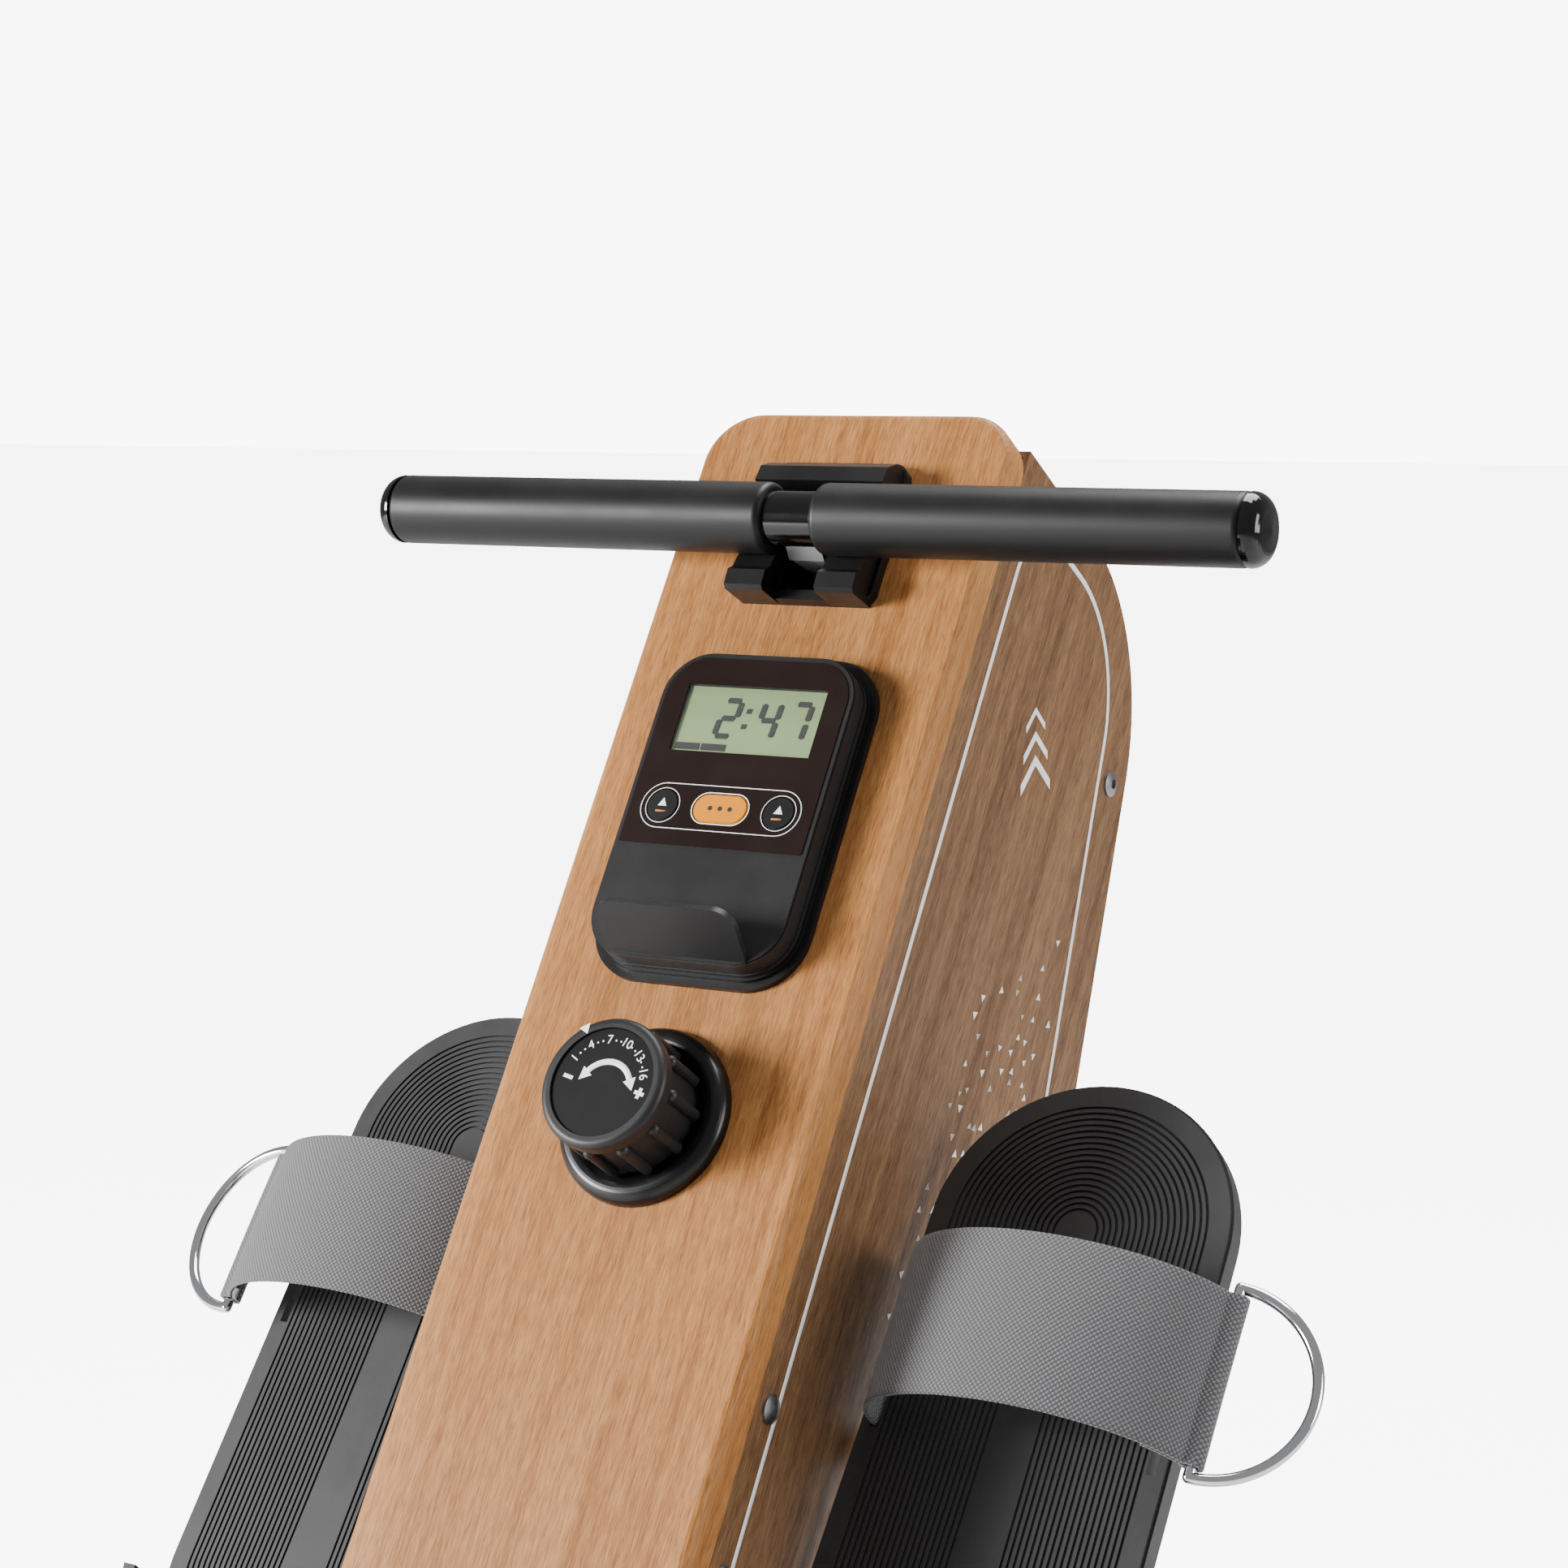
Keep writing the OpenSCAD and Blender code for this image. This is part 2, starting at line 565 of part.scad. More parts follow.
// ---- tension control ----
collar_r = 40;
collar_h = 8;
hub_r = 11;
dial_r = 24;
rib_r = 2.5;
ribs = 11;
cam_h = 10;
cam_out = -wall - 2;
module knob_collar() {
    color("black") on_face(-knob_u) rotate_extrude()
        polygon(concat([[hub_r + running_gap, 0], [collar_r, 0]], arc([collar_r - 6, collar_h - 6], 6, 0, 110, 10),
            [[26, 3.5], [hub_r + running_gap, 3.5]]));
}
module tension_knob() {
    color("dimgray") on_face(-knob_u) difference() {
        union() {
            rotate_extrude() polygon(concat([[0, 4.2], [knob_r - 4, 4.2], [knob_r - 2.7, 6], [knob_r - 2.7, knob_h - 9.5], [knob_r - 0.3, knob_h - 8]],
                arc([knob_r - 3, knob_h - 3], 3, 0, 90, 8), [[0, knob_h]]));
            for (i = [1:ribs]) rotate([0, 0, i * 360 / ribs + 35.7]) translate([knob_r - 1.6, 0, 7.8]) {
                cylinder(r = rib_r, h = knob_h - 19.3, $fn = 24);
                translate([0, 0, knob_h - 19.3]) sphere(rib_r + 0.3, $fn = 24);
            }
            translate([0, 0, cam_out - cam_h]) cylinder(r = hub_r, h = 5 - cam_out + cam_h);
        }
        translate([0, 0, knob_h - 3]) cylinder(r = dial_r + clear, h = 4);
        translate([0, 0, cam_out - cam_h - e]) cylinder(r = stem_r + running_gap, h = 80);
    }
}
module cable_cam() {
    color("gray") on_face(-knob_u) translate([0, 0, cam_out - cam_h]) difference() {
        union() {
            cylinder(r = 20, h = 3);
            cylinder(r = 17, h = cam_h);
            translate([0, 0, cam_h - 3]) cylinder(r = 20, h = 3);
        }
        translate([0, 0, -e]) cylinder(r = hub_r, h = cam_h + 2 * e);
    }
}
bracket_h = cam_out - cam_h - 6;
module dial_disc() {
    color("black") on_face(-knob_u) {
        translate([0, 0, knob_h - 2.7]) cylinder(r = dial_r, h = 1.7);
        translate([0, 0, bracket_h - 4]) cylinder(r = stem_r, h = knob_h - 2.7 - bracket_h + 4.1);
    }
}
module cable_bracket() {
    color("slategray") on_face(-knob_u) difference() {
        union() {
            translate([-31, -14, bracket_h - 3]) cube([62, 28, 3]);
            both_sides() translate([28, -14, bracket_h]) cube([3, 28, -wall - bracket_h]);
            both_sides() translate([28, -14, -wall - 3]) cube([16, 28, 3]);
            translate([-22, -8, bracket_h - 12]) cylinder(r = 6, h = 10);
        }
        translate([0, 0, bracket_h - 4]) cylinder(r = stem_r, h = 6);
        translate([-22, -8, bracket_h - 13]) cylinder(r = cable_r, h = 12);
    }
}
// The brake cable runs from the bracket to the end of the magnet arm's travel stop
cable_r = 2.5;
cable_x = -22;
cable_start = at(-knob_u - 8, 12 - bracket_h);
cable_path = [cable_start, cable_start + [6, -14], [top_y - 172, 420], [top_y - 186, 386], [top_y - 214, 352],
    [fly_y, fly_z] + (arm_in + 20) * [cos(arm_a1 + 2), sin(arm_a1 + 2)], [fly_y, fly_z] + (arm_in + 3) * [cos(arm_a1 - 2), sin(arm_a1 - 2)]];
module cable_piece(a, b) {
    translate([cable_x, a[0], a[1]]) rotate([-atan2(b[1] - a[1], b[0] - a[0]), 0, 0] * -1) rotate([-90, 0, 0])
        cylinder(r = cable_r, h = norm(b - a), $fn = 20);
}
module brake_cable() {
    color("black") for (i = [0:len(cable_path) - 2]) {
        cable_piece(cable_path[i], cable_path[i + 1]);
        translate([cable_x, cable_path[i + 1][0], cable_path[i + 1][1]]) sphere(cable_r * 1.08, $fn = 20);
    }
}

// ---- magnet brake ----
module magnet_arm() {
    color("slategray") difference() {
        union() {
            side_slab(-flywheel_t / 2, flywheel_t / 2) polygon(concat(
                arc([fly_y, fly_z], arm_in, arm_a0, arm_a1, 20), arc([fly_y, fly_z], arm_in + arm_t, arm_a1, arm_a0, 20)));
            cross_rod(arm_pivot, 9, -plates_x + plate_gap, plates_x - plate_gap);
            cross_rod([fly_y, fly_z] + (arm_in + 3) * [cos(arm_a1 - 2), sin(arm_a1 - 2)], 3, cable_x + cable_r + 1, 0);
        }
        cross_rod(arm_pivot, arm_pin_r + running_gap, -plates_x, plates_x);
    }
}
module magnets() {
    color("silver") for (a = [62:11:117]) translate([0, fly_y, fly_z]) rotate([a, 0, 0])
        translate([-flywheel_t / 2 + 3, arm_in - 4, -6]) cube([flywheel_t - 6, 3.8, 12]);
}

// ---- drive ----
module guide_roller() {
    color("black") difference() {
        union() {
            cross_rod(guide, guide_r, -strap_w / 2 - 1, strap_w / 2 + 1);
            for (x = [-strap_w / 2 - 3, strap_w / 2 + 1]) cross_rod(guide, guide_r + 3, x, x + 2);
        }
        cross_rod(guide, axle_r + running_gap, -30, 30);
    }
}
module strap_drum() {
    c = [drum_y, drum_z];
    color("dimgray") difference() {
        union() {
            cross_rod(c, drum_r, -strap_w / 2 - 3, strap_w / 2 + 3);
            for (x = [-strap_w / 2 - 3, strap_w / 2 + 1]) cross_rod(c, coil_r + 8, x, x + 2);
            cross_rod(c, drum_r - 4, strap_w / 2, belt_x + 2);
            cross_rod(c, pulley_r, belt_x, belt_x + belt_w + 2);
        }
        for (i = [0:4]) rotate_about(c, i * 72) cross_rod(c + [pulley_r * 0.68, 0], pulley_r * 0.2, belt_x - e, belt_x + belt_w + 3);
        cross_rod(c, axle_r + running_gap, -60, 60);
    }
}
module rotate_about(c, a) { translate([0, c[0], c[1]]) rotate([a, 0, 0]) translate([0, -c[0], -c[1]]) children(); }
module wound_strap() {
    color("gray") difference() {
        cross_rod([drum_y, drum_z], coil_r, -strap_w / 2, strap_w / 2);
        cross_rod([drum_y, drum_z], drum_r, -strap_w, strap_w);
    }
}
case_r = 42;
module recoil_case() {
    color("black") difference() {
        cross_rod([drum_y, drum_z], case_r, -plates_x, -strap_w / 2 - 4);
        cross_rod([drum_y, drum_z], case_r - 2.5, -plates_x + 2.5, -strap_w / 2 - 6);
        cross_rod([drum_y, drum_z], axle_r + 1.5, -plates_x - e, 0);
    }
}
// A flat spiral spring between the axle and the case
spiral = [for (i = [0:120]) let (a = i * 18, r = axle_r + 0.8 + i * (case_r - axle_r - 4) / 120) [drum_y + r * cos(a), drum_z + r * sin(a)]];
module recoil_spring() {
    color("silver") side_slab(-plates_x + 4, -strap_w / 2 - 8) polygon(ribbon(spiral, 0.8));
}
belt_run = [drum_y, drum_z] - [fly_y, fly_z];
belt_a = atan2(belt_run[1], belt_run[0]);
belt_wrap = 180 - acos((pulley_r - small_pulley_r) / norm(belt_run));
module belt_outline(grow) {
    polygon(concat(arc([drum_y, drum_z], pulley_r + grow, belt_a - belt_wrap, belt_a + belt_wrap, 48),
        arc([fly_y, fly_z], small_pulley_r + grow, belt_a + belt_wrap, belt_a + 360 - belt_wrap, 24)));
}
module drive_belt() {
    color("black") difference() {
        side_slab(belt_x + 1, belt_x + 1 + belt_w) belt_outline(clear + belt_t);
        side_slab(belt_x, belt_x + 2 + belt_w) belt_outline(clear);
    }
}
module flywheel() {
    c = [fly_y, fly_z];
    color("gray") difference() {
        union() {
            difference() {
                cross_rod(c, flywheel_r, -flywheel_t / 2, flywheel_t / 2);
                for (s = [-1, 1]) cross_rod(c, flywheel_r - 24, s > 0 ? flywheel_t / 2 - 7 : -flywheel_t / 2 - e, s > 0 ? flywheel_t / 2 + e : -flywheel_t / 2 + 7);
            }
            cross_rod(c, 18, -flywheel_t / 2 - 4, belt_x + 1);
            cross_rod(c, small_pulley_r, belt_x, belt_x + belt_w + 2);
        }
        for (i = [0:5]) rotate_about(c, i * 60) cross_rod(c + [50, 0], 13, -flywheel_t, flywheel_t / 2);
        cross_rod(c, axle_r + running_gap, -60, 60);
    }
}
module speed_sensor() {
    color("black") translate([-plates_x, fly_y + 30, fly_z + 8]) cube([plates_x - flywheel_t / 2 - 3, 24, 14]);
}

// ---- pedals ----
module on_pedal(s) { translate([s * pedal_x, pedal_c[0], pedal_c[1]]) rotate([pedal_rise, 0, 0]) scale_side(s) children(); }
heel_r = 72;
heel_v = -pedal_l + heel_r - pedal_r + 8;
module stadium(r) {
    circle(r);
    translate([0, heel_v]) circle(r + heel_r - pedal_r);
    polygon([[-r, 0], [r, 0], [r + heel_r - pedal_r, heel_v], [-r - heel_r + pedal_r, heel_v]]);
}
groove_pitch = 2.85;
module pedal(s) {
    on_pedal(s) difference() {
        union() {
            translate([0, 0, -pedal_t]) linear_extrude(pedal_t - 1.5) stadium(pedal_r);
            translate([0, 0, -1.51]) linear_extrude(1.51) stadium(pedal_r - 1.2);
            translate([0, heel_v, -1]) difference() {
                cylinder(r = heel_r - 1, h = 34);
                translate([0, 0, -e]) cylinder(r = heel_r - 7, h = 36);
                translate([-100, -18, -e]) cube([200, 200, 36]);
            }
            translate([-22, pivot_v - 17, -pedal_t - 14]) cube([44, 34, 15]);
            translate([-22, pivot_v, -pivot_drop]) rotate([0, 90, 0]) cylinder(r = 17, h = 44);
        }
        for (i = [0:17]) translate([0, 0, -1.1]) linear_extrude(2) difference() {
            stadium(pedal_r - 10.5 - i * groove_pitch);
            stadium(pedal_r - 10.5 - i * groove_pitch - 1.2);
        }
        translate([-23, pivot_v, -pivot_drop]) rotate([0, 90, 0]) cylinder(r = pedal_axle_r + running_gap, h = 46);
        for (x = [-1, 1]) translate([x * (pedal_r - 6) - 2, strap_v - foot_strap_w / 2 - 1, -20]) cube([4, foot_strap_w + 2, 30]);
    }
}
module left_pedal() { color("dimgray") pedal(-1); }
module right_pedal() { color("dimgray") pedal(1); }
module pedal_axle() {
    color("silver") {
        cross_rod(pedal_pivot, pedal_axle_r, -pedal_x - 22, pedal_x + 22);
        both_sides() cross_rod(pedal_pivot, 13, pedal_x + 22.4, pedal_x + 27);
        both_sides() cross_rod(pedal_pivot, pedal_axle_r, pedal_x + 21, pedal_x + 24);
    }
}
strap_v = -62;
arch_x = 12;
arch_a = 76;
arch_h = 52;
arch_z = 1.5;
arch_t = 2.4;
hem_a = 16;
arch_line = concat([for (i = [0:26]) let (a = hem_a + 2 + i * (178 - hem_a) / 26)
    [arch_x + arch_a * cos(a), arch_z + arch_h * sin(a)]], [[arch_x - arch_a, -pedal_t + 2]]);
hem = [arch_x + arch_a * cos(hem_a) + 1, arch_z + arch_h * sin(hem_a) - 1];
ring_wire = 2.5;
hem_r = 4.2;
module foot_strap(s) {
    on_pedal(s) translate([0, strap_v + foot_strap_w / 2, 0]) rotate([90, 0, 0]) difference() {
        union() {
            linear_extrude(foot_strap_w) polygon(ribbon(arch_line, arch_t));
            translate([hem[0], hem[1], 0]) cylinder(r = hem_r, h = foot_strap_w);
        }
        translate([hem[0], hem[1], -e]) cylinder(r = ring_wire + running_gap, h = foot_strap_w + 2 * e);
    }
}
ring_tilt = -12;
ring_side = foot_strap_w / 2 + 4;
module d_ring(s) {
    on_pedal(s) translate([hem[0], strap_v, hem[1]]) rotate([0, -ring_tilt, 0]) {
        rotate([90, 0, 0]) translate([0, 0, -ring_side]) cylinder(r = ring_wire, h = 2 * ring_side);
        rotate([0, 0, -90]) rotate_extrude(angle = 180) translate([ring_side, 0]) circle(ring_wire, $fn = 32);
        for (y = [-1, 1]) translate([0, y * ring_side, 0]) sphere(ring_wire, $fn = 32);
    }
}
module left_foot_strap() { color("gray") foot_strap(-1); }
module right_foot_strap() { color("gray") foot_strap(1); }
module left_ring() { color("silver") d_ring(-1); }
module right_ring() { color("silver") d_ring(1); }

// ---- transport wheels ----
wheel_x = foot_width / 2 - 80;
wheel_p = [front_foot_y + foot_tube_r + wheel_r + 6, wheel_r + 4];
wheel_axle_r = 5;
module wheel() {
    difference() {
        translate([wheel_x, wheel_p[0], wheel_p[1]]) rotate([0, 90, 0]) rotate_extrude()
            polygon(concat([[0, 0]], arc([wheel_r - 3, 3], 3, -90, 0, 6), arc([wheel_r - 3, 15], 3, 0, 90, 6), [[0, 18]]));
        cross_rod(wheel_p, wheel_axle_r + running_gap, wheel_x - 1, wheel_x + 20);
    }
}
module left_wheel() { color("black") scale_side(-1) wheel(); }
module right_wheel() { color("black") wheel(); }
module wheel_bracket() {
    color("dimgray") both_sides() {
        for (x = [wheel_x - 4.5, wheel_x + 18.5]) side_slab(x, x + 4) difference() {
            polygon([[front_foot_y + foot_tube_r - 3, foot_axis - 12], [front_foot_y + foot_tube_r - 3, foot_axis + 16],
                [wheel_p[0] + 9, wheel_p[1] + 10], [wheel_p[0] + 9, wheel_p[1] - 9]]);
            translate([front_foot_y, foot_axis]) circle(foot_tube_r + running_gap);
        }
        cross_rod(wheel_p, wheel_axle_r, wheel_x - 2, wheel_x + 20);
    }
}

// ---- seat ----
seat_y = -seat_back;
carriage_z = rail_top + 2 * roller_r + 8;
pan_t = 5;
roller_w = 26;
axle_gap = 70;
roller_pin = 5;
module seat_pad() {
    color("black") translate([0, seat_y, carriage_z + pan_t + clear]) {
        rounded_block(seat_w - 16, seat_l - 16, 60, seat_t);
        translate([0, 0, 6]) rounded_block(seat_w, seat_l, 68, seat_t - 12);
    }
}
module seat_carriage() {
    side_x = rail_w / 2 + 4;
    color("dimgray") {
        translate([0, seat_y, carriage_z]) rounded_block(seat_w * 0.62, seat_l * 0.78, 20, pan_t);
        both_sides() {
            translate([side_x, seat_y - axle_gap - 22, groove_z - 14]) cube([4, 2 * axle_gap + 44, carriage_z - groove_z + 14]);
            for (s = [-1, 1]) translate([rail_w / 2 - groove_d + 1, seat_y + s * axle_gap, groove_z]) rotate([0, 90, 0]) cylinder(r = 9, h = groove_d + 4);
        }
        for (s = [-1, 1]) cross_rod([seat_y + s * axle_gap, rail_top + roller_r + clear], roller_pin, -side_x - 6, side_x + 6);
    }
}
module rollers(s) {
    difference() {
        union() {
            cross_rod([seat_y + s * axle_gap, rail_top + roller_r + clear], roller_r, -roller_w / 2, roller_w / 2);
        }
        cross_rod([seat_y + s * axle_gap, rail_top + roller_r + clear], roller_pin + running_gap, -roller_w, roller_w);
    }
}
module front_rollers() { color("white") rollers(1); }
module rear_rollers() { color("white") rollers(-1); }

main_frame();
bearing_plates();
front_stabilizer();
end_caps();
rail();
rail_bumpers();
rear_leg();
rear_stabilizer();
frame_bolts();
front_cover();
left_cover();
right_cover();
cover_screws();
cradle();
console_base();
console_front();
console_film();
display();
display_window();
circuit_board();
batteries();
left_key();
mode_key();
right_key();
knob_collar();
tension_knob();
cable_cam();
dial_disc();
cable_bracket();
brake_cable();
magnet_arm();
magnets();
drive_axles();
guide_roller();
strap_drum();
wound_strap();
recoil_case();
recoil_spring();
drive_belt();
flywheel();
speed_sensor();
handle_tube();
hand_grips();
handle_caps();
strap_clip();
pull_strap();
pedal_axle();
left_pedal();
left_foot_strap();
left_ring();
right_pedal();
right_foot_strap();
right_ring();
left_wheel();
right_wheel();
wheel_bracket();
seat_pad();
seat_carriage();
front_rollers();
rear_rollers();
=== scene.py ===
import json
import math

import bmesh
import bpy
import numpy as np
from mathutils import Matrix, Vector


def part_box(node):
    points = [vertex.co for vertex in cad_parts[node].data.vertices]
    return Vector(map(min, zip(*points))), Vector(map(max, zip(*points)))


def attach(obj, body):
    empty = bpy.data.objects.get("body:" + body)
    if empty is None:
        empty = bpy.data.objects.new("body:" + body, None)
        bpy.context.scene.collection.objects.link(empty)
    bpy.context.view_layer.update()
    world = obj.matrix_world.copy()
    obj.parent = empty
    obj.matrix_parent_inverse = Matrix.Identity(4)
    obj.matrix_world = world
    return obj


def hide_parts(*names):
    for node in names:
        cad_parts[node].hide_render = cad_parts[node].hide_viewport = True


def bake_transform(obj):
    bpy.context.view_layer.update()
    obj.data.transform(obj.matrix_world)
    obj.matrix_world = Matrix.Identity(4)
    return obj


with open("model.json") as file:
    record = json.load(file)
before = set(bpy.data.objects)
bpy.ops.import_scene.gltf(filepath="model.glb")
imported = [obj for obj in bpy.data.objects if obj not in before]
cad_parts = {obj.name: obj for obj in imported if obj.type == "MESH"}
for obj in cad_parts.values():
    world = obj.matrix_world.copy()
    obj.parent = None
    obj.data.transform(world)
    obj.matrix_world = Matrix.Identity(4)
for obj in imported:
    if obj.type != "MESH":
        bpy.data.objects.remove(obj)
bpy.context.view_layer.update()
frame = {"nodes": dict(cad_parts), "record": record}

record = frame["record"]
joints = {joint["name"]: joint for joint in record["behaviour"]["joints"]}
across = np.array([1.0, 0.0, 0.0])

# the leaning face, taken from the knob's joint: its axis points into the face
knobAxis = np.array(joints["knob_turn"]["axis"])
faceOut = -knobAxis
faceUp = np.array([0.0, faceOut[2], -faceOut[1]])
knobPlace = np.array(joints["knob_turn"]["pos_m"])
knobDrop = 0.350  # from the face's top edge down to the knob
faceTop = knobPlace + knobDrop * faceUp
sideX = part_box("right_cover")[1][0]


def onFace(x, u, h):  # a point x across, u up the face from its top edge, h out of it
    x, u, h = np.broadcast_arrays(np.asarray(x, float), np.asarray(u, float), np.asarray(h, float))
    return faceTop + x[..., None] * across + u[..., None] * faceUp + h[..., None] * faceOut


# ---- meshes ----
def meshObject(name, points, faces, material, body, smooth=True):
    mesh = bpy.data.meshes.new(name)
    mesh.from_pydata(np.asarray(points, float).reshape(-1, 3).tolist(), [],
                     [list(map(int, f)) for f in faces])
    mesh.validate()
    mesh.polygons.foreach_set("use_smooth", np.full(len(mesh.polygons), smooth))
    mesh.update()
    piece = bpy.data.objects.new(name, mesh)
    bpy.context.scene.collection.objects.link(piece)
    mesh.materials.append(material)
    if body:
        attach(piece, body)
    return piece


# quads of a grid of rows and columns, either way wrapped round if asked
def gridFaces(rows, columns, wrapRows=False, wrapColumns=False):
    r = np.arange(rows if wrapRows else rows - 1)
    c = np.arange(columns if wrapColumns else columns - 1)
    r, c = np.meshgrid(r, c, indexing="ij")
    r2, c2 = (r + 1) % rows, (c + 1) % columns
    return np.stack([r * columns + c, r * columns + c2, r2 * columns + c2, r2 * columns + c],
                    -1).reshape(-1, 4)


def gridObject(name, points, material, body, wrapRows=False, wrapColumns=False, uv=None):
    rows, columns = points.shape[:2]
    piece = meshObject(name, points, gridFaces(rows, columns, wrapRows, wrapColumns), material, body)
    if uv is not None:
        layer = piece.data.uv_layers.new(name="weave")
        corners = np.empty(len(piece.data.loops), dtype=np.int32)
        piece.data.loops.foreach_get("vertex_index", corners)
        layer.data.foreach_set("uv", uv.reshape(-1, 2)[corners].astype(np.float32).ravel())
    return piece


def solidify(piece, thickness):
    wall = piece.modifiers.new("wall", "SOLIDIFY")
    wall.thickness, wall.offset = thickness, 0.0
    return piece


def closeUp(piece):  # merges doubled points at poles and turns every face outwards
    work = bmesh.new()
    work.from_mesh(piece.data)
    bmesh.ops.remove_doubles(work, verts=work.verts, dist=1e-6)
    bmesh.ops.recalc_face_normals(work, faces=work.faces)
    work.to_mesh(piece.data)
    work.free()
    return piece


# ---- shader helpers ----
def srgb(red, green, blue):
    value = np.array([red, green, blue]) / 255
    return tuple(np.where(value <= 0.04045, value / 12.92, ((value + 0.055) / 1.055) ** 2.4)) + (1.0,)


class Shader:
    def __init__(self, name):
        self.material = bpy.data.materials.new(name)
        self.material.use_nodes = True
        self.nodes = self.material.node_tree.nodes
        self.links = self.material.node_tree.links
        self.surface = self.nodes["Principled BSDF"]

    def add(self, kind, **values):
        return addNode(self.nodes, self.links, kind, values)

    def group(self, tree, **values):
        node = self.nodes.new("ShaderNodeGroup")
        node.node_tree = tree
        return setInputs(node, self.links, values)

    def wire(self, output, socket):
        self.links.new(output, self.surface.inputs[socket])
        return self

    def put(self, **values):
        for key, value in values.items():
            self.surface.inputs[key.replace("_", " ")].default_value = value
        return self


# i0, i1 and so on mean an input by its number, any other key an input by its name
def setInputs(node, links, values):
    for key, value in values.items():
        numbered = key[0] == "i" and key[1:].isdigit()
        socket = node.inputs[int(key[1:]) if numbered else key.replace("_", " ")]
        if isinstance(value, bpy.types.NodeSocket):
            links.new(value, socket)
        else:
            socket.default_value = value
    return node


def addNode(nodes, links, kind, values):  # a key that starts with _ is one of the node's own settings
    node = nodes.new("ShaderNode" + kind)
    for key, value in values.items():
        if key[0] == "_":
            setattr(node, key[1:], value)
    return setInputs(node, links, {key: value for key, value in values.items() if key[0] != "_"})


def shaderGroup(name, inputs, outputs, build):
    tree = bpy.data.node_groups.new(name, "ShaderNodeTree")
    for label, kind, value in inputs:
        socket = tree.interface.new_socket(label, in_out="INPUT", socket_type="NodeSocket" + kind)
        if value is not None:
            socket.default_value = value
    for label, kind in outputs:
        tree.interface.new_socket(label, in_out="OUTPUT", socket_type="NodeSocket" + kind)
    start = tree.nodes.new("NodeGroupInput")
    end = tree.nodes.new("NodeGroupOutput")
    results = build(lambda kind, **values: addNode(tree.nodes, tree.links, kind, values), start.outputs)
    for label, socket in results.items():
        tree.links.new(socket, end.inputs[label])
    return tree


def ramp(node, stops):
    node.color_ramp.elements[0].position, node.color_ramp.elements[0].color = stops[0]
    node.color_ramp.elements[1].position, node.color_ramp.elements[1].color = stops[-1]
    for place, colour in stops[1:-1]:
        node.color_ramp.elements.new(place).color = colour
    return node


def grey(value):
    return (value, value, value, 1.0)


# fine fibres, pores and slow bands of a wood veneer, running along the second axis of its input
def buildGrain(add, given):
    def stretched(place, scale):
        return add("VectorMath", _operation="MULTIPLY", i0=place, i1=scale).outputs[0]

    def noise(place, scale, detail, roughness):
        return add("TexNoise", Vector=stretched(place, scale), Scale=1.0, Detail=detail, Roughness=roughness)

    bend = noise(given["Vector"], (9, 2.2, 9), 3.0, 0.5)
    sway = add("VectorMath", _operation="SUBTRACT", i0=bend.outputs["Color"], i1=(0.5, 0.5, 0.5))
    drift = add("VectorMath", _operation="SCALE", i0=sway.outputs[0], Scale=0.012)
    place = add("VectorMath", _operation="ADD", i0=given["Vector"], i1=drift.outputs[0]).outputs[0]
    fibre = noise(place, (1250, 90, 1250), 4.0, 0.62).outputs["Fac"]
    streak = noise(place, (170, 4.5, 170), 4.0, 0.55).outputs["Fac"]
    band = noise(place, (34, 1.6, 34), 2.0, 0.5).outputs["Fac"]
    hole = noise(place, (2300, 130, 2300), 2.0, 0.5).outputs["Fac"]
    pore = ramp(add("ValToRGB", Fac=hole), [(0.56, grey(0)), (0.72, grey(1))])
    fine = add("Math", _operation="MULTIPLY_ADD", i0=fibre, i1=0.62,
               i2=add("Math", _operation="MULTIPLY", i0=streak, i1=0.38).outputs[0])
    tone = add("Math", _operation="MULTIPLY_ADD", i0=fine.outputs[0], i1=0.78,
               i2=add("Math", _operation="MULTIPLY", i0=band, i1=0.22).outputs[0])
    spread = add("MapRange", Value=tone.outputs[0], From_Min=0.40, From_Max=0.60)
    colour = add("Mix", _data_type="RGBA", i0=spread.outputs[0], i6=given["Dark"], i7=given["Light"])
    poreShare = add("Math", _operation="MULTIPLY", i0=pore.outputs[0], i1=given["Pores"])
    pored = add("Mix", _data_type="RGBA", i0=poreShare.outputs[0], i6=colour.outputs[2],
                i7=given["Pore Color"])
    height = add("Math", _operation="SUBTRACT", i0=fibre, i1=pore.outputs[0])
    return {"Color": pored.outputs[2], "Height": height.outputs[0], "Tone": spread.outputs[0]}


woodGrain = shaderGroup(
    "woodGrain", [("Vector", "Vector", None), ("Light", "Color", grey(0.5)), ("Dark", "Color", grey(0.2)),
                  ("Pore Color", "Color", grey(0.1)), ("Pores", "Float", 0.3)],
    [("Color", "Color"), ("Height", "Float"), ("Tone", "Float")], buildGrain)


